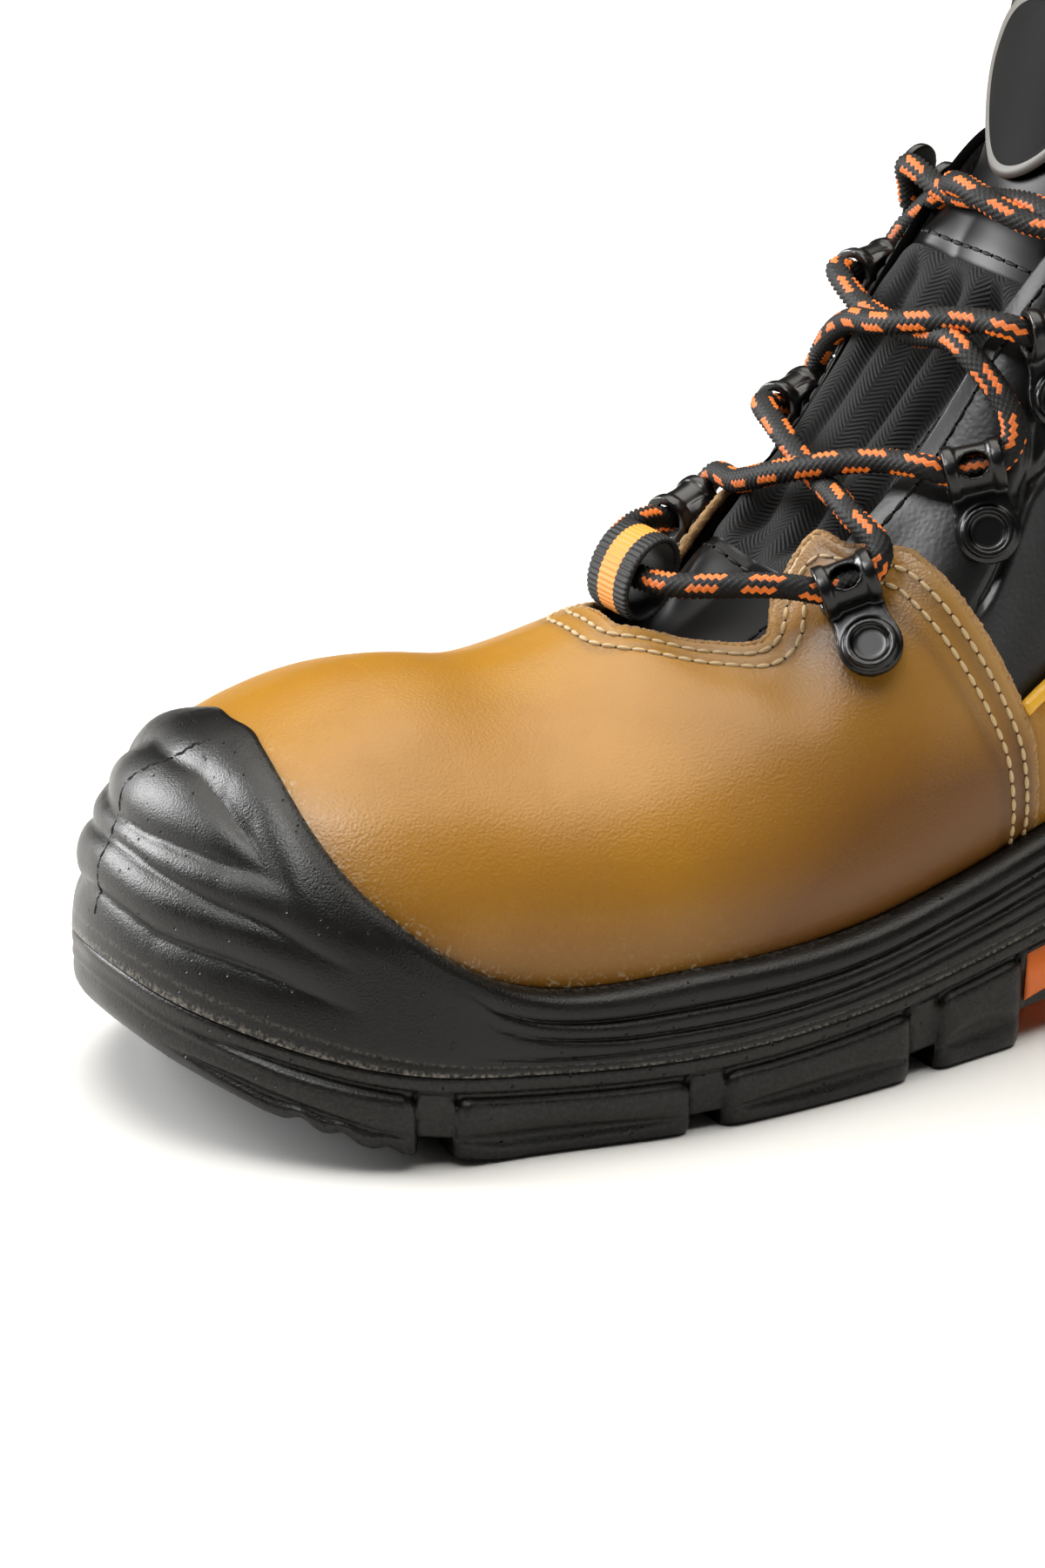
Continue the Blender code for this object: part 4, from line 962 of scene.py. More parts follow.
# %% Upper
COLLAR_ROLL, COLLAR_START, COLLAR_RUN, COLLAR_UP, COLLAR_RISE = 2.0, 1.68, 0.16, 0.7, 0.2
GuideRow = namedtuple("GuideRow", "x drop lift")
LOOPS = [GuideRow(12.0, 16.0, 1.3), GuideRow(-12.0, 22.0, 1.0), GuideRow(-29.0, 20.0, 1.0)]
HOOK = GuideRow(-43.0, 13.0, 0.8)
CRESCENT_DEPTH, CRESCENT_WIDTH, CRESCENT_RADIUS, CRESCENT_DROP = 1.5, 1.4, 12.5, 3.0
QUILT_UPS, QUILT_DEPTH, QUILT_WIDTH, QUILT_START = (0.72, 0.86), 0.9, 1.8, 0.06
VAMP_BACK = [(0.0, -21.0), (0.3, -17.0), (0.85, 1.0), (0.95, 8.5), (1.0, 12.5)]
ROOF_ROWS = np.linspace(1, 2, 12)[1:]


def upper_out(place, up):
    """Where the upper's outside lies: under the overlays, and padded at the collar."""
    along = ease(place, COLLAR_START, COLLAR_START + COLLAR_RUN)
    return UPPER_OUTSIDE + COLLAR_ROLL * along * ease(up, COLLAR_UP, COLLAR_UP + COLLAR_RISE)


def vamp_back(up):
    """Place of the vamp's rear edge."""
    return place_at(np.interp(np.minimum(up, 1), *np.transpose(VAMP_BACK)))


def upper_relief(place, side, up):
    """Pressed crescents round the guides, and quilting lines on the collar."""
    length = wall_length(place, side)
    relief = np.zeros(place.shape)
    for row in [*LOOPS[1:], HOOK]:
        ahead = (place - place_at(row.x)) * STRAIGHT_MM
        above = (up - 1) * length + row.drop + CRESCENT_DROP
        lower = ease(-above, -6.0, 2.0)
        relief -= CRESCENT_DEPTH * lower * hump(np.hypot(ahead, above), CRESCENT_RADIUS, CRESCENT_WIDTH)
    padded = ease(place, COLLAR_START + QUILT_START, COLLAR_START + COLLAR_RUN)
    for at in QUILT_UPS:
        relief -= QUILT_DEPTH * padded * hump((up - at) * length, 0, QUILT_WIDTH)
    return np.where(place < vamp_back(up) + 0.01, 0.0, relief)


def upper_sheets(side, places, rows):
    place, up = np.meshgrid(places, rows, indexing="ij")
    front = skin(place, side, up, upper_out(place, up) + upper_relief(place, side, up))
    return front, skin(place, side, up, np.full(place.shape, UPPER_INSIDE))


places = np.sort(np.append(stations(30, 150, 30), THROAT))
rows = np.concatenate([np.linspace(0, 0.4, 14)[:-1], np.linspace(0.4, 0.99, 59), [0.995, 0.998, 1],
                       ROOF_ROWS])
keep = (rows[None, 1:] <= 1) | (places[1:, None] <= THROAT)
upper = shell("upper_leather", [upper_sheets(side, places, rows) for side in SIDES],
              [black_leather, lining, edge_paint], keep=[keep, keep], nodes=["upper"],
              slot="upper_leather")

# %% [markdown]
# ## Tan leather
# Thick oiled leather covers the forefoot and the heel. The hide is waxed on its grain side, so it
# shines softly, while its cut edges show pale raw fibre. Marks on the mesh say where the finish
# paints shade low down, towards the heel and along the seams, where it paints a highlight near the
# throat, and where the leather is rubbed pale at its cut edge or dusty; the finish mixes its colours
# by them.

# %% Tan leather finish
# Waxed grain: warm tan in clouds, a soft shine that a fine pebbled grain breaks up. The grain is
# really nearer 0.3 mm and is drawn coarser so that it shows.
HIDE_CLOUDS, DUST_SPECKS, HIDE_GRAIN, HIDE_WRINKLES = 45.45, 1.5385, 0.5263, 2.381
tan, tree, shader = finish_named("oiled tan leather", Roughness=0.4, Specular_IOR_Level=0.3,
                                 Coat_Weight=0.08, Coat_Roughness=0.3)
coords = add(tree, "TexCoord").outputs["Object"]
low, dusty, wear_and_highlight, seam = (add(tree, "Attribute", attribute_name=mark).outputs["Fac"]
                          for mark in ("low", "dust", "wear_and_highlight", "seam"))
cloud = add(tree, "TexNoise", {"Vector": coords, "Scale": repeats(HIDE_CLOUDS), "Detail": 4.0,
                               "Roughness": 0.6})
tone = add(tree, "MapRange", {"Value": cloud.outputs["Fac"], "From Min": 0.3, "From Max": 0.72})
specks = add(tree, "TexNoise", {"Vector": coords, "Scale": repeats(DUST_SPECKS), "Detail": 3.0,
                                "Distortion": 1.5})
spots = add(tree, "MapRange", {"Value": specks.outputs["Fac"], "From Min": 0.56, "From Max": 0.66})
dust = add(tree, "Math", {0: spots.outputs["Result"], 1: dusty}, operation="MULTIPLY")
# The mixes paint shade low down and towards the heel, and in the seam grooves; the pale one is real wear
# along the cut edge plus a painted highlight near the throat; the last is real dust.
colour = paint("#B07C19")
for share, code in [(tone.outputs["Result"], "#9D6A13"), (low, "#6D4512"), (seam, "#4E3110"),
                    (wear_and_highlight, "#C79F63"), (dust.outputs[0], "#D2C4A8")]:
    colour = add(tree, "Mix", {0: share, 6: colour, 7: paint(code)}, data_type="RGBA").outputs[2]
tree.links.new(colour, shader.inputs["Base Color"])
grain = add(tree, "TexVoronoi", {"Vector": coords, "Scale": repeats(HIDE_GRAIN)}, feature="SMOOTH_F1")
wrinkle = add(tree, "TexNoise", {"Vector": coords, "Scale": repeats(HIDE_WRINKLES), "Detail": 5.0,
                                 "Roughness": 0.65, "Distortion": 0.6})
fine = add(tree, "Bump", {"Height": grain.outputs["Distance"], "Strength": 0.32, "Distance": 0.3 * MM})
bump = add(tree, "Bump", {"Height": wrinkle.outputs["Fac"], "Strength": 0.03, "Distance": 0.4 * MM,
                          "Normal": fine.outputs["Normal"]})
tree.links.new(bump.outputs["Normal"], shader.inputs["Normal"])
rough = add(tree, "MapRange", {"Value": cloud.outputs["Fac"], "From Min": 0.3, "From Max": 0.7,
                               "To Min": 0.36, "To Max": 0.48})
tree.links.new(rough.outputs["Result"], shader.inputs["Roughness"])
print("finish:", tan.name)

# %% Raw leather finishes
# Cut fibre: dull and pale, with dark gaps between the fibres, drawn coarser than they are.
CUT_FIBRE = 0.625
raw_edge, tree, shader = finish_named("raw cut leather", Roughness=0.95)
coords = add(tree, "TexCoord").outputs["Object"]
fibre = add(tree, "TexNoise", {"Vector": coords, "Scale": repeats(CUT_FIBRE), "Detail": 3.0})
mixed = add(tree, "Mix", {0: fibre.outputs["Fac"], 6: paint("#7E5020"), 7: paint("#CDA873")},
            data_type="RGBA")
tree.links.new(mixed.outputs[2], shader.inputs["Base Color"])
bump = add(tree, "Bump", {"Height": fibre.outputs["Fac"], "Strength": 0.8, "Distance": 0.4 * MM})
tree.links.new(bump.outputs["Normal"], shader.inputs["Normal"])

# Suede of the flesh side: plain brown with no shine.
flesh, _, _ = finish_named("flesh side of leather", Base_Color="#9A7142", Roughness=0.95)
print("finishes:", raw_edge.name, flesh.name)

# %% [markdown]
# ## Shape of the vamp
# The vamp runs over the toe and ends in two wings beside the throat. Walking has pressed a soft
# hollow behind the toe cap and faint creases over the ball of the foot. As with the upper, these
# are moves along the normals, so they follow the last wherever it turns.

# %% Shape of the vamp
WING_RISE, WING_FRONT, WING_BACK = 6.0, 25.5, 9.5
SEAM_ROWS, SEAM_WIDTH, SEAM_DEPTH = (3.0, 6.8), 0.9, 0.22
BACK_SLANT = 0.82


def vamp_relief(place, side, up):
    """Soft hollow behind the toe cap, and two faint flex creases over the ball of the foot."""
    x, y, z = np.moveaxis(on_last(place, side, up), -1, 0)
    beside = np.abs(y)
    hollow = 1.5 * hump(x - 0.10 * beside, 74, 15) * ease(z, 52, 70)
    flex = 0.2 * hump(x + 0.2 * beside, 52, 4.5) * ease(z, 50, 66) * ease(beside, 6, 16)
    flex += 0.15 * hump(x + 0.3 * beside, 38, 4) * ease(z, 40, 56) * ease(-z, -74, -66)
    cap = 0.7 * hump(np.hypot(x - 112, y), 24, 9) * ease(z, 62, 70)
    return cap - hollow - flex


def wing(place, side, up):
    """The outer wing's tip stands a little over the rim in front of the first guide."""
    x = TOE_CENTRE - STRAIGHT_MM * (place - 1)
    rise = on_last(place, side, np.ones(place.shape)) - on_last(place, side, np.full(place.shape, 0.97))
    rise = rise / np.linalg.norm(rise, axis=-1, keepdims=True)
    tall = WING_RISE * ease(WING_FRONT - x, 0, 4.5) * ease(x - WING_BACK, 0, 4.0)
    share = tall * ease(up, 0.84, 1.0) * (place > THROAT) * (up <= 1) * (side == LATERAL)
    return share[..., None] * rise


def edge_distance(place, side, up):
    """Millimetres from the nearest cut edge: throat, rim or back of the vamp."""
    length = wall_length(place, side)
    ahead, below = (THROAT - place) * STRAIGHT_MM, (1 - up) * length
    behind = np.minimum((vamp_back(up) - place) * STRAIGHT_MM * BACK_SLANT, below)
    corner = np.where(up > 1, ahead, np.hypot(ahead, below))
    return np.where(place >= THROAT, behind, corner)


def vamp_sheets(side, places, rows):
    base, up = np.meshgrid(places, rows, indexing="ij")
    behind = (base - THROAT) * (vamp_back(up) - THROAT) / (places[-1] - THROAT)
    place = np.where(base > THROAT, THROAT + behind, base)
    away = edge_distance(place, side, up)
    # A groove along each row of stitches; the same profile later paints shade into the colour there.
    seam = np.maximum.reduce([hump(away, row, SEAM_WIDTH) for row in SEAM_ROWS])
    relief = vamp_relief(place, side, up) - SEAM_DEPTH * seam
    lift = wing(place, side, up)
    front = skin(place, side, up, relief) + lift
    behind = skin(place, side, up, relief - LEATHER) + lift
    # Pale mark: real wear along the cut edge, and a broad painted highlight on the upper vamp near the
    # throat.
    rubbed_and_highlight = 0.35 * hump(away, 0, 1.1) + 0.2 * hump(away, 0, 16) * ease(front[..., 2], 58, 68)
    return front, behind, place, seam, rubbed_and_highlight


print("rows of stitches along the vamp's edge at", SEAM_ROWS, "mm")

# %% [markdown]
# ## Vamp
# The grid follows the throat and the slanting rear edge, so the cut edges are lines of the mesh.
# Where all columns meet over the toe, the points crowd together, and a short smoothing evens them.

# %% Vamp
# Painted shade in the seam grooves: how strongly the colour darkens along the stitch rows.
SEAM_SHADE = 0.45
POLE_HEIGHT, POLE_REACH, POLE_ROUNDS = 76.8, 7, 12
places = np.unique(np.concatenate([stations(60, 200, 2), [THROAT]]))
places = np.append(places[places < float(vamp_back(0)) - 0.002], float(vamp_back(0)))
rows = np.concatenate([np.linspace(0, 1, 74), ROOF_ROWS])
keep = (rows[None, 1:] <= 1) | (places[1:, None] <= THROAT)
halves = [vamp_sheets(side, places, rows) for side in SIDES]
marks = {"low": [], "dust": [], "seam": [SEAM_SHADE * h[3] for h in halves], "wear_and_highlight": [h[4] for h in halves]}
for front, _, place, _, _ in halves:
    z = front[..., 2]
    # Painted shade: the leather is darker low down and towards the heel, less so on top of the foot.
    below, rear = ease(-z, -62, -30), ease(place, 1.14, 1.46) * (1 - 0.45 * ease(z, 50, 70))
    marks["low"].append(np.clip(0.7 * below + 0.95 * rear, 0, 1))
    above = np.maximum(z - along_outline(SOLE, "wall_top", place), 0)
    beside_rim = 0.9 * np.exp(-above / 0.8) + 0.12 * np.exp(-above / 6.0)
    marks["dust"].append(beside_rim * ease(place, 0.2, 0.5) * ease(-place, -1.35, -1.1))
vamp = shell("vamp_leather", [h[:2] for h in halves], [tan, flesh, raw_edge], keep=[keep, keep],
             marks=marks, nodes=["vamp"], slot="overlay_leather")
work = bmesh.new()
work.from_mesh(vamp.data)
pole = Vector((*(np.array([TOE_CENTRE, 0.0]) + SHIFT[:2]), POLE_HEIGHT)) * MM
near_pole = [v for v in work.verts if (v.co - pole).length < POLE_REACH * MM]
for _ in range(POLE_ROUNDS):
    bmesh.ops.smooth_vert(work, verts=near_pole, factor=0.5, use_axis_x=True, use_axis_y=True,
                          use_axis_z=True)
work.to_mesh(vamp.data)
work.free()

# %% Vamp's cut edges
throat_at, rim_at = int(np.argmin(np.abs(places - THROAT))), int(np.argmin(np.abs(rows - 1)))


def around_edge(sheet):
    """The grid's points along throat, rim and back edge."""
    return np.concatenate([sheet[throat_at, :rim_at:-1], sheet[throat_at:, rim_at],
                           sheet[-1, rim_at - 1::-1]])


vamp_edges = {side: around_edge(h[0]) for side, h in zip(SIDES, halves)}
vamp_outward = {side: (vamp_edges[side] - around_edge(h[1])) / LEATHER for side, h in zip(SIDES, halves)}
print("cut edge", round(float(arc_shares(vamp_edges[LATERAL])[1])), "mm on each side")

# %% [markdown]
# ## Counter
# A second tan panel runs round the heel, from the vamp's rear edge to the back. Its top is a soft
# wave, and the leather is thinned a little along it, where it is folded under the piping.

# %% Counter
COUNTER_TOP = [(0.0, 0.36), (0.35, 0.30), (0.7, 0.38), (1.0, 0.48)]
COUNTER_COLUMNS, COUNTER_ROWS, FOLD_DEPTH = 120, 30, 0.5


def counter_sheets(side):
    way, share = np.meshgrid(np.linspace(0, 1, COUNTER_COLUMNS), np.linspace(0, 1, COUNTER_ROWS),
                             indexing="ij")
    up = share * smooth(*np.transpose(COUNTER_TOP), way)
    start = vamp_back(up) + GAP / STRAIGHT_MM
    place = start + (3 - start) * way
    place[-1] = 3.0
    relief = -FOLD_DEPTH * hump((1 - share) * 30, 0, 1.5)
    face = skin(place, side, up, relief)
    return face, skin(place, side, up, np.full(place.shape, -LEATHER)), place


halves = [counter_sheets(side) for side in SIDES]
marks = {"low": [], "dust": []}
for front, _, place in halves:
    above = front[..., 2] - along_outline(SOLE, "wall_top", place)
    # Painted shade: the counter is darker towards the sole.
    marks["low"].append(0.5 * ease(30 - above, 0, 30))
    marks["dust"].append(np.exp(-np.maximum(above, 0) / 2.2))
counter = shell("counter_leather", [h[:2] for h in halves], [tan, flesh, raw_edge], marks=marks,
                nodes=["counter"], slot="overlay_leather")
counter_top = {side: h[0][:, -1] for side, h in zip(SIDES, halves)}

# %% [markdown]
# ## Textiles
# The tongue is covered with twill and soft leather, and a felt footbed lies inside. Twill is woven in
# diagonal wales. A wave pattern draws them in the mesh's own UV, which is laid out in millimetres,
# so the wales keep their width wherever the foam swells.

# %% Textile finishes
# Black twill: matt, with faint diagonal lines under a little fuzz. Real wales are nearer 0.4 mm
# apart and are drawn coarser so that they show. The wave node turns ten radians per unit.
TWILL_WALE, TWILL_YARN, FELT_NAP = 0.7166, 0.3333, 0.8333
twill, tree, shader = finish_named("black twill", Roughness=0.8, Specular_IOR_Level=0.25,
                                   Sheen_Weight=0.05)
coords = add(tree, "TexCoord").outputs["UV"]
wale_scale = 2 * math.pi / (10 * math.sqrt(2) * TWILL_WALE)
wale = add(tree, "TexWave", {"Vector": coords, "Scale": wale_scale, "Distortion": 0.3, "Detail": 1.0},
           bands_direction="DIAGONAL")
yarn = add(tree, "TexNoise", {"Vector": coords, "Scale": 1 / TWILL_YARN, "Detail": 2.0})
shade = add(tree, "Mix", {0: wale.outputs["Fac"], 6: paint("#0B0B0C"), 7: paint("#1D1D1F")},
            data_type="RGBA")
tree.links.new(shade.outputs[2], shader.inputs["Base Color"])
fuzz = add(tree, "Bump", {"Height": yarn.outputs["Fac"], "Strength": 0.2, "Distance": 0.3 * MM})
bump = add(tree, "Bump", {"Height": wale.outputs["Fac"], "Strength": 0.5, "Distance": 0.5 * MM,
                          "Normal": fuzz.outputs["Normal"]})
tree.links.new(bump.outputs["Normal"], shader.inputs["Normal"])

# Grey felt: no shine at all, with a bloom of loose fibre. The nap is drawn coarser than it is.
felt, tree, shader = finish_named("grey felt", Base_Color="#3A3A3C", Roughness=0.95, Sheen_Weight=0.3)
coords = add(tree, "TexCoord").outputs["Object"]
nap = add(tree, "TexNoise", {"Vector": coords, "Scale": repeats(FELT_NAP), "Detail": 4.0})
bump = add(tree, "Bump", {"Height": nap.outputs["Fac"], "Strength": 0.5, "Distance": 0.5 * MM})
tree.links.new(bump.outputs["Normal"], shader.inputs["Normal"])

# Soft leather: a smooth black with a narrow, weak shine.
panel_leather, _, _ = finish_named("soft black leather", Base_Color="#0B0B0C", Roughness=0.34,
                                   Specular_IOR_Level=0.15)
print("finishes:", twill.name, felt.name, panel_leather.name)

# %% [markdown]
# ## Shape of the tongue
# The tongue is a padded strip: smooth leather low down where the laces start, twill over foam
# beside the laces, and a leather panel near the top. Foam swells between the seams. A cloth
# simulation would find that swell, but here it is a height over a plain face, so that the laces can
# be laid on it by the same function.

# %% Shape of the tongue
TongueRow = namedtuple("TongueRow", "x z half thick")
TONGUE = [
    TongueRow(58.0, 69.0, 18.0, 2.5),
    TongueRow(47.0, 70.0, 20.0, 3.0),
    TongueRow(36.0, 71.8, 20.0, 4.0),
    TongueRow(21.0, 80.0, 21.0, 6.0),
    TongueRow(5.0, 95.0, 22.0, 7.0),
    TongueRow(-12.0, 114.5, 22.5, 7.0),
    TongueRow(-28.0, 138.5, 23.2, 7.0),
    TongueRow(-39.0, 156.0, 18.8, 7.0),
    TongueRow(-44.5, 176.0, 26.5, 6.0),
    TongueRow(-47.5, 189.0, 25.0, 5.0),
    TongueRow(-48.5, 195.0, 16.0, 4.0),
]
TONGUE_Y, TONGUE_CAMBER = 3.4, 40.0
TONGUE_LINE = np.array([(row.x, row.z) for row in TONGUE])
TONGUE_SHARES, TONGUE_LENGTH = arc_shares(TONGUE_LINE)
USUAL_HALF = 21
LEATHER_END, PANEL = 0.27, (0.665, 0.80)
PUFF = 6.0
TONGUE_SEAMS, SEAM_VALLEY = (-0.5, 0.02, 0.5), 4.2


def tongue_middle(along):
    """The tongue's middle line, as x and z."""
    along = np.clip(along, 0, 1)
    return np.stack([smooth(TONGUE_SHARES, TONGUE_LINE[:, k], along) for k in (0, 1)], -1)


def tongue_face(along, across, out):
    """Points on the tongue: shares along and across it, moved out by some millimetres."""
    along, across = np.broadcast_arrays(np.asarray(along, float), np.asarray(across, float))
    run = tongue_middle(along + 0.01) - tongue_middle(along - 0.01)
    facing = np.stack([run[..., 1], -run[..., 0]], -1) / np.linalg.norm(run, axis=-1, keepdims=True)
    y = across * smooth(TONGUE_SHARES, column(TONGUE, "half"), along)
    middle = tongue_middle(along) + facing * (out - y * y / (2 * TONGUE_CAMBER))[..., None]
    return np.stack([middle[..., 0], y + TONGUE_Y, middle[..., 1]], -1)


def tongue_puff(along, across):
    """The foam is pushed up against the inner side of the opening."""
    inner = -np.asarray(across)
    rolled = ease(inner, 0.15, 0.65) * (1 - 0.3 * ease(inner, 0.8, 1.0))
    return PUFF * rolled * ease(along, 0.1, 0.25) * ease(-np.asarray(along), -0.78, -0.6)


def tongue_pads(along, across):
    """Foam between the seams, as a height over or under the plain face."""
    wobble = 0.05 * np.sin(9.0 * along) + 0.03 * np.sin(23.0 * along + 1.0)
    lines = [np.abs(across - at - wobble) * USUAL_HALF for at in TONGUE_SEAMS]
    away = np.minimum.reduce([*lines, (1 - np.abs(across) + 0.05) * USUAL_HALF])
    rib = np.minimum.reduce([np.abs(along - at) for at in (LEATHER_END, *PANEL)]) * TONGUE_LENGTH
    quilted = ease(along, LEATHER_END, LEATHER_END + 0.05) * ease(-along, -PANEL[0], 0.04 - PANEL[0])
    edge = hump((1 - np.abs(across)) * USUAL_HALF, 0, 2.5)
    valley = np.maximum(np.exp(-(away / 2.6) ** 1.4) * quilted, 0.4 * edge)
    dent = 0.35 * np.sin(40 * along + 3 * across) * np.sin(7 * across + 11 * along) * quilted
    sewn = SEAM_VALLEY * np.maximum(valley, 0.25 * np.exp(-rib / 1.6))
    return tongue_puff(along, across) + dent - sewn


print("tongue", round(float(TONGUE_LENGTH)), "mm long")

# %% [markdown]
# ## Tongue
# Front and back are two grids that the shell helper joins. Each face takes twill or leather by
# where its middle lies, and the weave folds back on itself like the chevrons of a herringbone.

# %% Tongue
TONGUE_RIM = 1.2
CHEVRON = 5.6
HALF_CELL = 0.003
along, across = np.meshgrid(np.linspace(0, 1, 170), np.linspace(-1, 1, 81), indexing="ij")
thick = smooth(TONGUE_SHARES, column(TONGUE, "thick"), along)
front = tongue_face(along, across, tongue_pads(along, across))
behind = tongue_face(along, across, -np.maximum(thick * (1 - across ** 4), TONGUE_RIM))
middle_along = along[:-1, :-1] + HALF_CELL
panel = (middle_along > PANEL[0]) & (middle_along < PANEL[1])
colours = np.where((middle_along < LEATHER_END) | panel, 1, 0)
weave = np.stack([np.abs(np.mod(across * USUAL_HALF, CHEVRON) - CHEVRON / 2), along * TONGUE_LENGTH], -1)
tongue = shell("tongue_padded", [(front, behind)], [twill, panel_leather], colours=[colours], uv=weave,
               nodes=["tongue"], slot="tongue_textile")

# %% [markdown]
# ## Tongue patch
# A plain oval of rubber is sewn on above the leather panel. Rings of points round its centre give
# the raised rim its own faces, so the rim takes a second finish without any texture.

# %% Tongue patch
# Matt rubber: a dead black in the middle and a dull grey rim.
patch_rubber, _, _ = finish_named("matt black rubber", Base_Color="#0C0C0D", Roughness=0.6,
                                  Specular_IOR_Level=0.06)
patch_edge, _, _ = finish_named("grey rubber", Base_Color="#6F6C67", Roughness=0.55)
PATCH_CENTRE, PATCH_LENGTH, PATCH_WIDTH = 0.865, 0.105, 0.72
PATCH_THICK, PATCH_GAP = 1.6, 0.9
PATCH_RIM = 0.86
ring, turn = np.meshgrid(np.linspace(0, 1, 16), np.linspace(0, 2 * math.pi, 73), indexing="ij")
spot_along = PATCH_CENTRE + PATCH_LENGTH * ring * np.sin(turn)
spot_across = PATCH_WIDTH * ring * np.cos(turn)
sunk = 0.5 * hump(ring, PATCH_RIM, 0.03) + 0.4 * (ring < PATCH_RIM)
dome = PATCH_THICK - 0.9 * ease(ring, 0.92, 1.0) - sunk
front = tongue_face(spot_along, spot_across, PATCH_GAP + dome)
behind = tongue_face(spot_along, spot_across, np.full(ring.shape, PATCH_GAP))
colours = np.where(ring[:-1, :-1] > PATCH_RIM - 0.01, 1, 0)
shell("tongue_patch_oval", [(front, behind)], [patch_rubber, patch_edge], colours=[colours],
      nodes=["tongue_patch"], slot="patch_rubber")

# %% [markdown]
# ## Footbed
# The footbed fills the foot of the upper with a small gap all round. It is the inner outline of the
# last, drawn in to the axis, with its upper rim rounded.

# %% Footbed
INSOLE = 3.5
INSOLE_SHARES = np.array([0, 0.03, 0.1, 0.3, 0.6, 1])
INSOLE_ROUND = (1.2, 0.3, 0.0)


def insole_sheets(side):
    places = stations(24, 50, 20)
    foot = skin(places, side, np.zeros(len(places)), np.full(len(places), UPPER_INSIDE))
    centre = spread(places, side, 0.0)[0]
    reach = np.stack([foot[:, 0] - centre, foot[:, 1]], -1)
    length = np.maximum(np.linalg.norm(reach, axis=1), 1)
    reach *= (1 - 2 * GAP / length)[:, None]
    x = centre[:, None] + reach[:, None, 0] * (1 - INSOLE_SHARES)
    y = reach[:, None, 1] * (1 - INSOLE_SHARES)
    z = welt(x) + FLOOR + GAP
    drop = np.interp(INSOLE_SHARES, INSOLE_SHARES[:3], INSOLE_ROUND)
    return np.stack([x, y, z + INSOLE - drop], -1), np.stack([x, y, z], -1)


shell("footbed", [insole_sheets(side) for side in SIDES], [felt], nodes=["insole"],
      slot="insole_textile")

# %% [markdown]
# ## Yarns
# Laces, webbing and the seams of the black upper are polyester yarn. Its hairs are far too fine to
# model, so a noise bump stands for them.

# %% Yarn finishes
# Polyester yarn: a dull shine broken up by hairs, which are drawn much coarser than they are.
YARN_HAIR = 0.3846


def hairy_yarn(name, **look):
    """A yarn finish with a bump of fine hair."""
    finish, tree, shader = finish_named(name, **look)
    coords = add(tree, "TexCoord").outputs["Object"]
    hair = add(tree, "TexNoise", {"Vector": coords, "Scale": repeats(YARN_HAIR), "Detail": 2.0})
    bump = add(tree, "Bump", {"Height": hair.outputs["Fac"], "Strength": 0.4, "Distance": 0.3 * MM})
    tree.links.new(bump.outputs["Normal"], shader.inputs["Normal"])
    return finish


black_yarn = hairy_yarn("black polyester yarn", Base_Color="#0B0A0A", Roughness=0.6,
                        Specular_IOR_Level=0.25)
orange_yarn = hairy_yarn("orange polyester yarn", Base_Color="#F47A12", Roughness=0.65)
# The webbing's ribs are in its mesh, so its bright yarn needs no bump.
amber_yarn, _, _ = finish_named("amber polyester yarn", Base_Color="#F59A10", Roughness=0.65)
print("finishes:", black_yarn.name, orange_yarn.name, amber_yarn.name)

# %% [markdown]
# ## Webbing loop
# A woven ribbon, black with an amber middle, is folded into a loop at the foot of the throat and
# guides the lowest run of lace. It is a flattened ring, and its cross ribs are real bumps in the
# mesh, because they show on its outline.

# %% Webbing loop
WEBBING_CENTRE, WEBBING_HALF, WEBBING_TILT = (40.5, 87.0), (8.6, 5.4), math.radians(118.0)
WEBBING_WIDTH, WEBBING_THICK = 15.0, 1.4
WEBBING_RIBS, RIB_HEIGHT, POINTS_PER_RIB = 44, 0.13, 5
AMBER_HALF, RIBBON_POINTS = 0.19, 31
HALF_YARN = 0.5 / (RIBBON_POINTS - 1)


def ribbon(turn, across, inset):
    """Points round the loop, some millimetres inside its outline."""
    along, over = WEBBING_HALF[0] - inset, WEBBING_HALF[1] - inset
    a, b = along * np.cos(turn), over * np.sin(turn)
    x = WEBBING_CENTRE[0] + a * math.cos(WEBBING_TILT) - b * math.sin(WEBBING_TILT)
    z = WEBBING_CENTRE[1] + a * math.sin(WEBBING_TILT) + b * math.cos(WEBBING_TILT)
    return np.stack([x, across * WEBBING_WIDTH, z], -1)


turn, across = np.meshgrid(np.linspace(0, 2 * math.pi, WEBBING_RIBS * POINTS_PER_RIB + 1),
                           np.linspace(-0.5, 0.5, RIBBON_POINTS), indexing="ij")
weave = RIB_HEIGHT * np.cos(WEBBING_RIBS * turn)
colours = np.where(np.abs(across[:-1, :-1] + HALF_YARN) < AMBER_HALF, 1, 0)
selvedge = 0.35 * ease(np.abs(across), 0.45, 0.5)
sheet = (ribbon(turn, across, 0.12 - weave + selvedge), ribbon(turn, across, WEBBING_THICK - selvedge))
shell("webbing_ribbon", [sheet], [black_yarn, amber_yarn], colours=[colours], nodes=["webbing_loop"],
      slot="webbing")

# %% [markdown]
# ## Solids for the lace guides
# Each guide is a small pressed plate with a barrel for the lace, a window in the barrel and a dished
# rivet. Rods and plates are joined and cut as solids. Bevels would fail on such crossing edges, so a
# fine remesh melts the corners together, as thick enamel does.

# %% Solids for the lace guides
MELT, SOFTENING = 0.36, 7


def as_mesh(work, name):
    mesh = bpy.data.meshes.new(name)
    work.to_mesh(mesh)
    work.free()
    return mesh


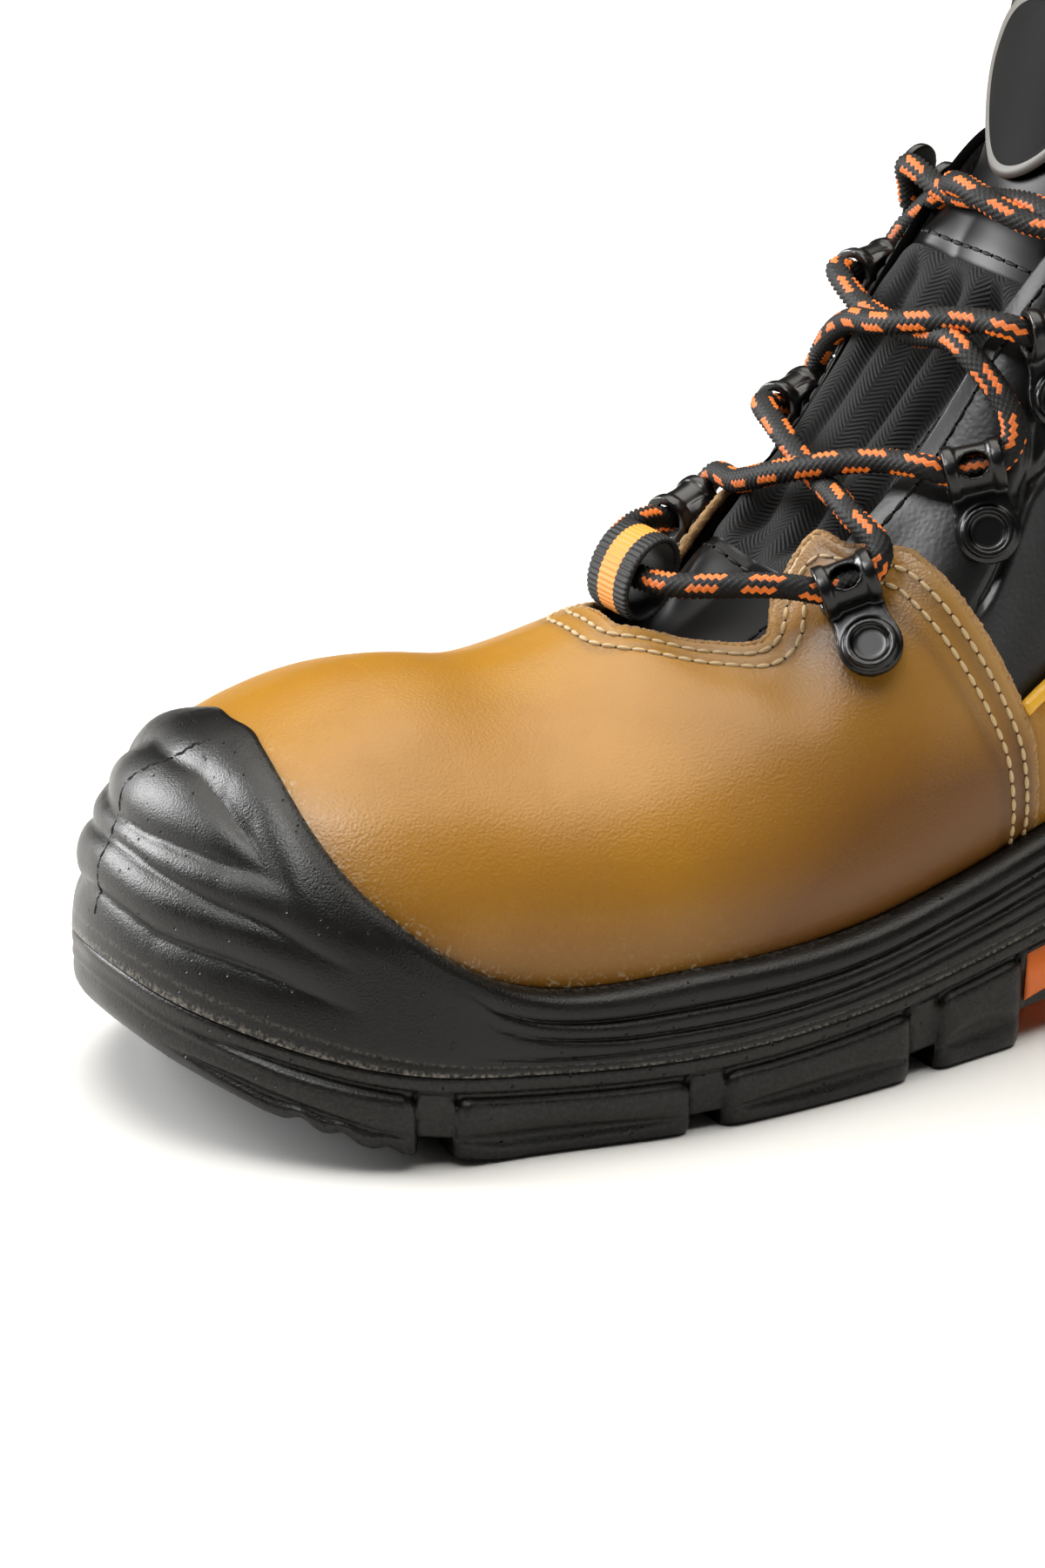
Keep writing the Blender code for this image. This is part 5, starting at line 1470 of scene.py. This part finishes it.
def rod(radius, depth, at, lying=False, stretch=1.0):
    """A round rod that stands on the plate or lies along x."""
    turn = Matrix.Rotation(math.pi / 2, 4, "Y") if lying else Matrix.Identity(4)
    work = bmesh.new()
    bmesh.ops.create_cone(work, cap_ends=True, segments=40, radius1=radius, radius2=radius, depth=depth)
    bmesh.ops.scale(work, vec=(stretch, 1, 1), verts=work.verts)
    bmesh.ops.transform(work, matrix=Matrix.Translation(at) @ turn, verts=work.verts)
    return as_mesh(work, "tool")


def stadium(length, width, thick, waist=0.0):
    """Plate with round ends, long in y, narrowed in the middle."""
    straight = (length - width) / 2
    turns = np.linspace(0, math.pi, 17)
    side = [(width / 2 - waist * math.cos(math.pi * y / 2 / straight) ** 2, y)
            for y in np.linspace(-straight, straight, 12)[1:-1]]
    rim = side + [(width / 2 * math.cos(t), straight + width / 2 * math.sin(t)) for t in turns]
    rim += [(-x, -y) for x, y in rim]
    work = bmesh.new()
    base = work.faces.new([work.verts.new((x, y, 0)) for x, y in rim])
    lifted = bmesh.ops.extrude_face_region(work, geom=[base])["geom"]
    raised = [v for v in lifted if isinstance(v, bmesh.types.BMVert)]
    bmesh.ops.translate(work, vec=(0, 0, thick), verts=raised)
    bmesh.ops.recalc_face_normals(work, faces=work.faces)
    return as_mesh(work, "plate")


def cast(base, steps):
    """Join and cut solids, then melt the corners; returns points and faces."""
    target = bpy.data.objects.new("target", base)
    bpy.context.collection.objects.link(target)
    tools = []
    for operation, mesh in steps:
        tools.append(bpy.data.objects.new("tool", mesh))
        bpy.context.collection.objects.link(tools[-1])
        boolean = target.modifiers.new(operation, "BOOLEAN")
        boolean.operation = operation
        boolean.object = tools[-1]
    remesh = target.modifiers.new("melt", "REMESH")
    remesh.mode = "VOXEL"
    remesh.voxel_size = MELT
    soften = target.modifiers.new("soften", "SMOOTH")
    soften.factor = 0.5
    soften.iterations = SOFTENING
    bpy.context.view_layer.update()
    solid = target.evaluated_get(bpy.context.evaluated_depsgraph_get())
    result = bpy.data.meshes.new_from_object(solid)
    points = np.array([v.co for v in result.vertices])
    faces = [list(p.vertices) for p in result.polygons]
    for thing in tools + [target]:
        bpy.data.objects.remove(thing)
    return points, faces


print("solids are melted in cells of", MELT, "mm")

# %% [markdown]
# ## Lace guides
# Three pairs of loops and one pair of hooks stand beside the throat. Each kind is cast once, and its
# points are then turned into the frame of every seat: along the boot, up to the rim and out.

# %% Loop and hook
GUIDE_LENGTH, GUIDE_WIDTH, GUIDE_PLATE, GUIDE_WAIST = 23.0, 12.2, 2.2, 0.8
BARREL_RADIUS, BARREL_LENGTH, BARREL_UP, BARREL_HEIGHT = 4.45, 11.0, 6.5, 4.1
LIP_RADIUS, LIP_LENGTH, LIP_AT = 5.05, 2.2, 4.4
BORE_RADIUS, BORE_LENGTH = 3.25, 14.0
WINDOW_RADIUS, WINDOW_DEPTH, WINDOW_AT, WINDOW_STRETCH = 2.4, 5.2, 8.8, 1.15
RIVET_UP, RIVET_RADIUS, RIVET_HEIGHT, RIVET_RIM, DISH = -5.6, 4.9, 1.1, 1.3, 1.0
HOOK_LENGTH, HOOK_WIDTH, HOOK_WAIST = 16.0, 10.0, 0.5
POST_RADIUS, POST_UP, POST_HEIGHT = 2.4, 2.0, 8.0
HEAD_RADIUS, HEAD_UP, HEAD_THICK = 5.2, 4.0, 1.8
loop_points, loop_faces = cast(stadium(GUIDE_LENGTH, GUIDE_WIDTH, GUIDE_PLATE, GUIDE_WAIST), [
    ("UNION", rod(BARREL_RADIUS, BARREL_LENGTH, (0, BARREL_UP, BARREL_HEIGHT), lying=True)),
    ("UNION", rod(LIP_RADIUS, LIP_LENGTH, (LIP_AT, BARREL_UP, BARREL_HEIGHT), lying=True)),
    ("UNION", rod(LIP_RADIUS, LIP_LENGTH, (-LIP_AT, BARREL_UP, BARREL_HEIGHT), lying=True)),
    ("UNION", rod(RIVET_RADIUS, 2 * RIVET_HEIGHT, (0, RIVET_UP, GUIDE_PLATE))),
    ("DIFFERENCE", rod(BORE_RADIUS, BORE_LENGTH, (0, BARREL_UP, BARREL_HEIGHT), lying=True)),
    ("DIFFERENCE", rod(RIVET_RADIUS - RIVET_RIM, 2 * DISH, (0, RIVET_UP, GUIDE_PLATE + RIVET_HEIGHT))),
    ("DIFFERENCE", rod(WINDOW_RADIUS, WINDOW_DEPTH, (0, BARREL_UP, WINDOW_AT), stretch=WINDOW_STRETCH)),
])
hook_points, hook_faces = cast(stadium(HOOK_LENGTH, HOOK_WIDTH, GUIDE_PLATE, HOOK_WAIST), [
    ("UNION", rod(POST_RADIUS, POST_HEIGHT, (0, POST_UP, POST_HEIGHT / 2))),
    ("UNION", rod(HEAD_RADIUS, HEAD_THICK, (0, HEAD_UP, POST_HEIGHT + HEAD_THICK / 4))),
])
print("faces of a loop and a hook:", len(loop_faces), len(hook_faces))

# %% Lace guides
# Enamel over pressed steel: a deep black that gathers small sharp highlights along its edges.
enamel, _, _ = finish_named("black enamel", Base_Color="#070708", Roughness=0.3, Specular_IOR_Level=0.3,
                            Coat_Weight=0.12, Coat_Roughness=0.14)
ALL_GUIDES = [("lace_loop_1", LOOPS[0]), ("lace_loop_2", LOOPS[1]), ("lace_loop_3", LOOPS[2]),
              ("lace_hook", HOOK)]


def guide_frame(row, side):
    """Place of a guide: its middle, then its directions along the boot, up to the rim and out."""
    place = place_at(row.x)
    up = 1 - row.drop / wall_length(place, side)
    seat = 0.0 if place < vamp_back(up) else float(upper_out(place, up))
    normal = normal_at(place, side, up)
    rise = on_last(place, side, up + 0.02) - on_last(place, side, up - 0.02)
    rise = rise - normal * np.dot(rise, normal)
    rise = rise / np.linalg.norm(rise)
    return skin(place, side, up, seat + row.lift), np.cross(rise, normal), rise, normal


for name, row in ALL_GUIDES:
    points, faces = (hook_points, hook_faces) if row is HOOK else (loop_points, loop_faces)
    for side in SIDES:
        middle, forward, rise, normal = guide_frame(row, side)
        placed = middle + points @ np.stack([side * forward, rise, normal])
        make_piece(f"{name}_{SIDE_NAMES[side]}_cast", placed, faces, [enamel],
                   nodes=[f"{name}_{SIDE_NAMES[side]}"], slot="guide_enamel")

# %% [markdown]
# ## Route of the lace
# One round lace runs from hook to hook: down through the guides, crossing over the tongue, and
# through the webbing loop at the bottom. A curve object could carry it, but the braid has to be
# counted along the lace, so the route is a list of points with an even sweep along it.

# %% Route of the lace
LACE_RADIUS, RIM_CLEARANCE, WEBBING_HOLD = 2.5, 0.7, 9.0
STRAND_LIFTS = {LATERAL: 1.4, MEDIAL: 6.9}
MIDWAY = {LATERAL: 0.62, MEDIAL: 0.38}
IN_BORE = (BARREL_UP, BARREL_HEIGHT)
THROUGH_GUIDE = [(7.6, 8.0, 5.0), (4.8, *IN_BORE), (0, *IN_BORE), (-4.8, *IN_BORE), (-7.4, 8.4, 5.2)]
ROUND_HOOK = [(8.0, 7.5, 4.5), (5.8, 3.4, 5.0), (3.6, -1.6, 5.0), (0, -3.1, 5.0), (-3.8, -1.2, 5.0),
              (-5.2, 3.0, 5.0)]


def at_guide(level, side):
    """Points from a guide's toe end to its heel end: through a barrel, or round the hook's post."""
    middle, forward, rise, normal = guide_frame(ALL_GUIDES[level][1], side)
    forward = forward * np.sign(forward[0])
    spots = THROUGH_GUIDE if level < len(LOOPS) else ROUND_HOOK
    return [middle + along * forward + up * rise + out * normal for along, up, out in spots]


def crossing(low, high, side, lift):
    """Points over the near rim, the tongue and the far rim."""
    def x_at(share):
        return low[0] + (high[0] - low[0]) * share

    def over_tongue(share, across, lift):
        along = np.interp(-x_at(share), -TONGUE_LINE[:, 0], TONGUE_SHARES)
        return tongue_face(along, across, tongue_puff(along, across) + lift + LACE_RADIUS)

    def over_rim(share, rim_side):
        if rim_side == MEDIAL:
            return over_tongue(share, -0.72, 0.2)
        return skin(place_at(x_at(share)), rim_side, 1.0, LACE_RADIUS + RIM_CLEARANCE)

    return [over_rim(0.12, side), over_tongue(MIDWAY[side], 0.0, lift), over_rim(0.88, -side)]


def lace_half(side):
    """From the middle of the webbing loop up to the hook that this half ends on."""
    x, z = WEBBING_CENTRE
    points = [np.array([x, side * WEBBING_HOLD, z])]
    for level in range(len(LOOPS)):
        points += at_guide(level, side)
        after = at_guide(level + 1, -side)
        points += crossing(points[-1], after[0], side, STRAND_LIFTS[side])
        side = -side
    return points + at_guide(len(LOOPS), side)


route = lace_half(MEDIAL)[::-1] + lace_half(LATERAL)
print("points on the lace's route:", len(route))

# %% Tubes along a line
CURVE_SAMPLES, EVENING_ROUNDS = 6000, 12


def sweep(points, step):
    """Even samples along a smooth curve, with two directions across it that never twist suddenly."""
    points = np.array(points)
    knots = np.concatenate([[0], np.linalg.norm(np.diff(points, axis=0), axis=1).cumsum()])
    reach = np.linspace(0, knots[-1], CURVE_SAMPLES)
    dense = np.stack([smooth(knots, points[:, k], reach) for k in range(3)], -1)
    shares, length = arc_shares(dense)
    at = np.linspace(0, 1, int(length / step) + 1)
    line = np.stack([np.interp(at, shares, dense[:, k]) for k in range(3)], -1)
    for _ in range(EVENING_ROUNDS):
        line[1:-1] = (line[:-2] + 2 * line[1:-1] + line[2:]) / 4
    run = np.gradient(line, axis=0)
    run /= np.linalg.norm(run, axis=1)[:, None]
    beside = np.zeros_like(run)
    latest = np.cross(run[0], (0.0, 0.0, 1.0))
    for k, direction in enumerate(run):
        latest = latest - direction * np.dot(latest, direction)
        latest = latest / np.linalg.norm(latest)
        beside[k] = latest
    return line, beside, np.cross(run, beside), at * length


def tube_points(line, beside, over, radius, angle):
    """Points round a line, at these distances and angles."""
    across = np.cos(angle)[..., None] * beside[:, None] + np.sin(angle)[..., None] * over[:, None]
    return (line[:, None] + np.asarray(radius)[..., None] * across).reshape(-1, 3)


def tube_faces(rings, around):
    """Faces of a tube with both ends closed."""
    k = np.arange(rings * around).reshape(rings, around)
    ahead = np.roll(k, -1, axis=1)
    wall = np.stack([k[:-1], ahead[:-1], ahead[1:], k[1:]], -1).reshape(-1, 4)
    return wall.tolist() + [k[0].tolist(), k[-1].tolist()]


BEAD_LENGTH, BEAD_STEPS = 1.5, 4
line, beside, over, run = sweep(route, BEAD_LENGTH / BEAD_STEPS)
print("lace", round(run[-1]), "mm long")

# %% [markdown]
# ## Braid
# In a braid two sets of strands cross, and every crossing shows as a small diamond. The diamonds are
# bumps on a fine tube: the height is high where both sets are at the middle of a strand. Orange ticks
# are whole diamonds of other yarn, so every face asks which diamond it belongs to.

# %% Braid
BEADS, BEAD_HEIGHT = 10, 0.45
BRAID_TWIST = 0.02


def bead_phase(ring, turn):
    """Two crossing sets of strands, counted in beads."""
    return (ring + turn) / BEAD_STEPS, (ring - turn) / BEAD_STEPS


around = BEADS * BEAD_STEPS
ring, turn = np.meshgrid(np.arange(len(line)), np.arange(around), indexing="ij")
first, second = bead_phase(ring, turn)
swell = np.sqrt(np.abs(np.cos(math.pi * first) * np.cos(math.pi * second)))
radius = LACE_RADIUS - BEAD_HEIGHT + BEAD_HEIGHT * swell
angle = turn * 2 * math.pi / around + BRAID_TWIST * run[:, None]
lace_points = tube_points(line, beside, over, radius, angle)
here = ring * around + turn
next_to = ring * around + (turn + 1) % around
corners = here[:-1], next_to[:-1], next_to[1:], here[1:]
odd = (ring + turn)[:-1] % 2 == 1


def triangles(*picked):
    """One triangle in every square of the tube, from three of its corners."""
    return np.stack([corners[k] for k in picked], -1)


one = np.where(odd[..., None], triangles(0, 1, 3), triangles(0, 1, 2))
two = np.where(odd[..., None], triangles(1, 2, 3), triangles(0, 2, 3))
print("diamonds round the lace:", BEADS, "faces:", 2 * odd.size)

# %% Orange ticks
TICK_PERIOD, TICK_LENGTH = 10.4, 5.9
TICK_ROWS = {0: 0.0, 1: 0.0, 4: 0.12, 5: 0.12, 10: 0.5, 11: 0.5, 14: 0.62, 15: 0.62}
starts = np.array([TICK_ROWS.get(number, -1.0) for number in range(2 * BEADS)])
middles = [(1 / 3, np.where(odd, 1 / 3, 2 / 3)), (2 / 3, np.where(odd, 2 / 3, 1 / 3))]
faces, numbers = [], []
for triangle, (ahead, sideways) in zip((one, two), middles):
    phases = bead_phase(ring[:-1] + ahead, turn[:-1] + sideways)
    first, second = (np.round(phase).astype(int) for phase in phases)
    start = starts[np.mod(first - second, 2 * BEADS)]
    along = np.mod((first + second) / 2 * BEAD_LENGTH / TICK_PERIOD + start, 1) * TICK_PERIOD
    faces += triangle.reshape(-1, 3).tolist()
    numbers.append(((start >= 0) & (along < TICK_LENGTH)).astype(int).ravel())
faces += [list(range(around)), list(range(len(lace_points) - around, len(lace_points)))]
numbers = np.concatenate([*numbers, [0, 0]])
make_piece("lace_braid", lace_points, faces, [black_yarn, orange_yarn], numbers,
           nodes=["lace_bar", "lace_cross_1", "lace_cross_2", "lace_cross_3"], slot="lace")

# %% [markdown]
# ## Stitches
# A row of stitches is drawn beside an edge and pressed onto the leather. A texture would do for fine
# thread, but this thread is thick and throws small shadows, so each stitch is a stretched ball and
# each needle hole a dark one between two stitches.

# %% Beads on a surface
def ball(around=8, along=6):
    """A unit ball as points and faces."""
    work = bmesh.new()
    bmesh.ops.create_uvsphere(work, u_segments=around, v_segments=along, radius=1.0)
    bmesh.ops.rotate(work, matrix=Matrix.Rotation(math.pi / 2, 3, "Y"), verts=work.verts)
    work.verts.index_update()
    points = np.array([v.co for v in work.verts])
    faces = [[v.index for v in f.verts] for f in work.faces]
    work.free()
    return points, faces


BALL, BALL_FACES = ball()


def surface_tree(piece):
    points = [v.co / MM - Vector(SHIFT) for v in piece.data.vertices]
    return BVHTree.FromPolygons(points, [p.vertices for p in piece.data.polygons])


def press(points, tree):
    """Nearest points on a piece, with its directions outwards."""
    found = [tree.find_nearest(Vector(p)) for p in points]
    return np.array([f[0] for f in found]), np.array([f[1] for f in found])


def resample(points, step):
    """The same line with points at even steps."""
    shares, length = arc_shares(points)
    at = np.linspace(0, 1, max(int(round(length / step)), 2) + 1)
    return np.stack([np.interp(at, shares, points[:, k]) for k in range(3)], -1)


def beads_along(points, normals, size, sink):
    """Balls stretched along a line, one between each two points."""
    middle = (points[1:] + points[:-1]) / 2
    run = points[1:] - points[:-1]
    run /= np.linalg.norm(run, axis=1)[:, None]
    out = normals[1:] + normals[:-1]
    out -= run * np.sum(out * run, axis=1)[:, None]
    out /= np.linalg.norm(out, axis=1)[:, None]
    frames = np.stack([run * size[0], np.cross(out, run) * size[1], out * size[2]], 1)
    return (middle - out * sink)[:, None] + BALL @ frames


def joined_balls(name, balls, finish, slot):
    balls = np.concatenate(balls)
    count = len(BALL)
    faces = [[v + k * count for v in face] for k in range(len(balls)) for face in BALL_FACES]
    return make_piece(name, balls.reshape(-1, 3), faces, [finish], slot=slot)


print("points on one stitch:", len(BALL))

# %% Rows of stitches
STITCH_SHARE, STITCH_WIDE, STITCH_HIGH, STITCH_RISE = 0.45, 0.46, 0.48, 0.1
HOLE_SIZE, HOLE_REACH, HOLE_SINK = (0.32, 0.38, 0.14), 0.3, 0.02
CORNER_ROUNDS = 10


def inset(edge, normals, distance):
    """Move a line sideways over the surface it lies on."""
    run = np.gradient(edge, axis=0)
    sideways = np.cross(normals, run)
    return edge + distance * sideways / np.linalg.norm(sideways, axis=1)[:, None]


def inset_row(edge, normals, distance):
    """A line beside an edge, with its corners rounded as a sewing machine turns them."""
    row = inset(edge, normals, distance)
    nearest = np.linalg.norm(row[:, None] - edge[None], axis=-1).min(1)
    row = resample(row[nearest > 0.9 * abs(distance)], 1.0)
    for _ in range(CORNER_ROUNDS):
        row[1:-1] = (row[:-2] + 2 * row[1:-1] + row[2:]) / 4
    return row


def stitch_rows(name, lines, tree, slot, yarn, pit, step):
    """Thread beads along each line, and a needle hole between each two."""
    stitches, holes = [], []
    size = (step * STITCH_SHARE, STITCH_WIDE, STITCH_HIGH)
    for edge in lines:
        spots, normals = press(resample(edge, step), tree)
        stitches.append(beads_along(spots, normals, size, -STITCH_RISE))
        run = np.gradient(spots, axis=0)
        run /= np.linalg.norm(run, axis=1)[:, None]
        ends = np.stack([spots - run * HOLE_REACH, spots + run * HOLE_REACH], 1)
        holes += [beads_along(pair, np.array([n, n]), HOLE_SIZE, HOLE_SINK)
                  for pair, n in zip(ends, normals)]
    joined_balls(f"{name}_thread", stitches, yarn, slot)
    joined_balls(f"{name}_holes", holes, pit, slot)


print("a needle hole is", 2 * HOLE_SIZE[1], "mm wide")

# %% [markdown]
# ## Seams
# Two rows of thick cream thread hold the vamp's cut edges and one row the counter's top. On the black
# pieces the thread is black. A seam's line comes from the same functions as the piece it lies on.

# %% Seams of the tan leather
# Bonded thread: cream with a dull shine. The holes are the brown of shaded leather.
thread, _, _ = finish_named("cream bonded thread", Base_Color="#CBB184", Roughness=0.6)
hole, _, _ = finish_named("needle hole", Base_Color="#452B10", Roughness=1.0)
TAN_STEP, COUNTER_INSET = 2.9, np.array([0, 0, 4.0])
lines = [inset_row(vamp_edges[side], vamp_outward[side], -side * row) for side in SIDES
         for row in SEAM_ROWS]
stitch_rows("vamp_seam", lines, surface_tree(vamp), "overlay_leather", thread, hole, TAN_STEP)
lines = [counter_top[side] - COUNTER_INSET for side in SIDES]
stitch_rows("counter_seam", lines, surface_tree(counter), "overlay_leather", thread, hole, TAN_STEP)

# %% Seams of the tongue
BLACK_STEP, LINE_POINTS = 3.4, 30
ROWS_ACROSS, ROWS_ALONG = (0.258, 0.679, 0.789), (0.6, 0.78)
rows = [(np.full(LINE_POINTS, at), np.linspace(-0.85, 0.85, LINE_POINTS)) for at in ROWS_ACROSS]
rows += [(np.linspace(0.08, 0.5, LINE_POINTS), np.full(LINE_POINTS, at)) for at in ROWS_ALONG]
lines = [tongue_face(along, across, tongue_pads(along, across)) for along, across in rows]
stitch_rows("tongue_seam", lines, surface_tree(tongue), "tongue_textile", black_yarn, edge_paint,
            BLACK_STEP)

# %% Seams of the black upper
FACING_INSET = 4.5
COLLAR_SEAM_UP, COLLAR_SEAM_CLIMB = 0.66, 0.305
seam_start = COLLAR_START + 0.02
places = np.linspace(float(vamp_back(1.0)) + 0.02, COLLAR_START, 60)
around = np.linspace(seam_start, 3.0, 160)
climb = COLLAR_SEAM_CLIMB * (1 - ease(around, seam_start, COLLAR_START + COLLAR_RUN))
lines = []
for side in SIDES:
    up = 1 - FACING_INSET / wall_length(places, side)
    lines.append(skin(places, side, up, upper_out(places, up)))
    up = COLLAR_SEAM_UP + climb
    lines.append(skin(around, side, up, upper_out(around, up)))
stitch_rows("upper_seam", lines, surface_tree(upper), "upper_leather", black_yarn, edge_paint, BLACK_STEP)

# %% [markdown]
# ## Raw edges
# A knife leaves the cut edge of thick leather fuzzy. A displaced mesh edge would need far more faces,
# so a thin tube of uneven radius is laid along the edge, in the finish of the raw cut.

# %% Raw edges
FRAY_SINK, FRAY_STEP, FRAY_RADIUS, FRAY_UNEVEN, FRAY_SIDES = 0.8, 0.45, 0.92, 0.10, 8
chance = np.random.default_rng(5)


def ragged_edge(edge, outward):
    """A thin uneven tube of raw fibre along a cut edge, as points and faces."""
    line, beside, over, _ = sweep(resample(edge - FRAY_SINK * outward, 1.2), FRAY_STEP)
    angle = np.linspace(0, 2 * math.pi, FRAY_SIDES, endpoint=False)[None, :]
    radius = FRAY_RADIUS + FRAY_UNEVEN * chance.standard_normal((len(line), FRAY_SIDES))
    return tube_points(line, beside, over, radius, angle), tube_faces(len(line), FRAY_SIDES)


edges = [ragged_edge(vamp_edges[side], vamp_outward[side]) for side in SIDES]
shift = len(edges[0][0])
faces = edges[0][1] + [[v + shift for v in face] for face in edges[1][1]]
make_piece("vamp_raw_edge", np.concatenate([e[0] for e in edges]), faces, [raw_edge],
           slot="overlay_leather")

# %% [markdown]
# ## Parting crack
# Where the two halves of the mould met, the bumper's skin has torn open in a ragged line. A cut into
# the wall would need a much finer mesh, so a row of flat black beads of uneven width is pressed onto
# it: painted shadow that reads as the gap.

# %% Parting crack
# Painted shadow of the torn gap: black with hardly any shine.
crack_shadow, _, _ = finish_named("painted shadow of torn skin", Base_Color="#040404", Roughness=0.9,
                           Specular_IOR_Level=0.2)
CRACK = [(0.10, 0.07), (0.04, 0.13), (-0.03, 0.22), (-0.07, 0.33), (-0.05, 0.45), (-0.02, 0.55),
         (-0.01, 0.83)]
CRACK_STEP, CRACK_JITTER, CRACK_SIZE, CRACK_SINK = 0.7, 0.22, (0.6, 0.3, 0.16), 0.03


def wall_spot(place, share):
    """A point near the sole's wall; places below 0 lie on the inner side."""
    side = LATERAL if place >= 0 else MEDIAL
    place = np.array([abs(place)])
    top = along_outline(SOLE, "wall_top", place)
    foot = welt(spread(place, side, along_outline(SOLE, SIDE_NAMES[side], place))[0])
    return sole_wall(place, side, top + (foot - top) * share, np.array([RIM_REACH]))[0]


spots = resample(np.array([wall_spot(*spot) for spot in CRACK]), CRACK_STEP)
spots[1:-1] += CRACK_JITTER * chance.standard_normal((len(spots) - 2, 3))
spots, normals = press(spots, surface_tree(midsole))
torn = beads_along(spots, normals, CRACK_SIZE, CRACK_SINK)
widths = chance.uniform(0.5, 1.5, len(torn))[:, None, None]
middles = torn.mean(1, keepdims=True)
joined_balls("bumper_parting_crack", [middles + (torn - middles) * widths], crack_shadow, "sole_rubber")

# %% [markdown]
# ## Piping
# A yellow cord is caught in the seam along the counter's top and runs round the heel in one length.
# It is a plain tube, swept along the counter's upper edge.

# %% Piping
# Coated cord: an even yellow with a soft shine.
yellow, _, _ = finish_named("yellow piping", Base_Color="#E8AE1E", Roughness=0.45)
PIPING_RADIUS, PIPING_LIFT, PIPING_STEP, PIPING_SIDES = 1.5, np.array([0, 0, 0.8]), 1.2, 12
edge = np.concatenate([counter_top[LATERAL], counter_top[MEDIAL][-2::-1]]) + PIPING_LIFT
line, beside, over, _ = sweep(resample(edge, 6.0), PIPING_STEP)
angle = np.linspace(0, 2 * math.pi, PIPING_SIDES, endpoint=False)[None, :]
points = tube_points(line, beside, over, PIPING_RADIUS, angle)
make_piece("counter_piping", points, tube_faces(len(line), PIPING_SIDES), [yellow],
           slot="overlay_leather")

# %% [markdown]
# ## Size
# The dressed boot has to stay the size of its solids. The box round the shown pieces is printed.

# %% Size
bpy.context.view_layer.update()
low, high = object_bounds()
print("final box", [round(v * 1000, 1) for v in (*low, *high)])
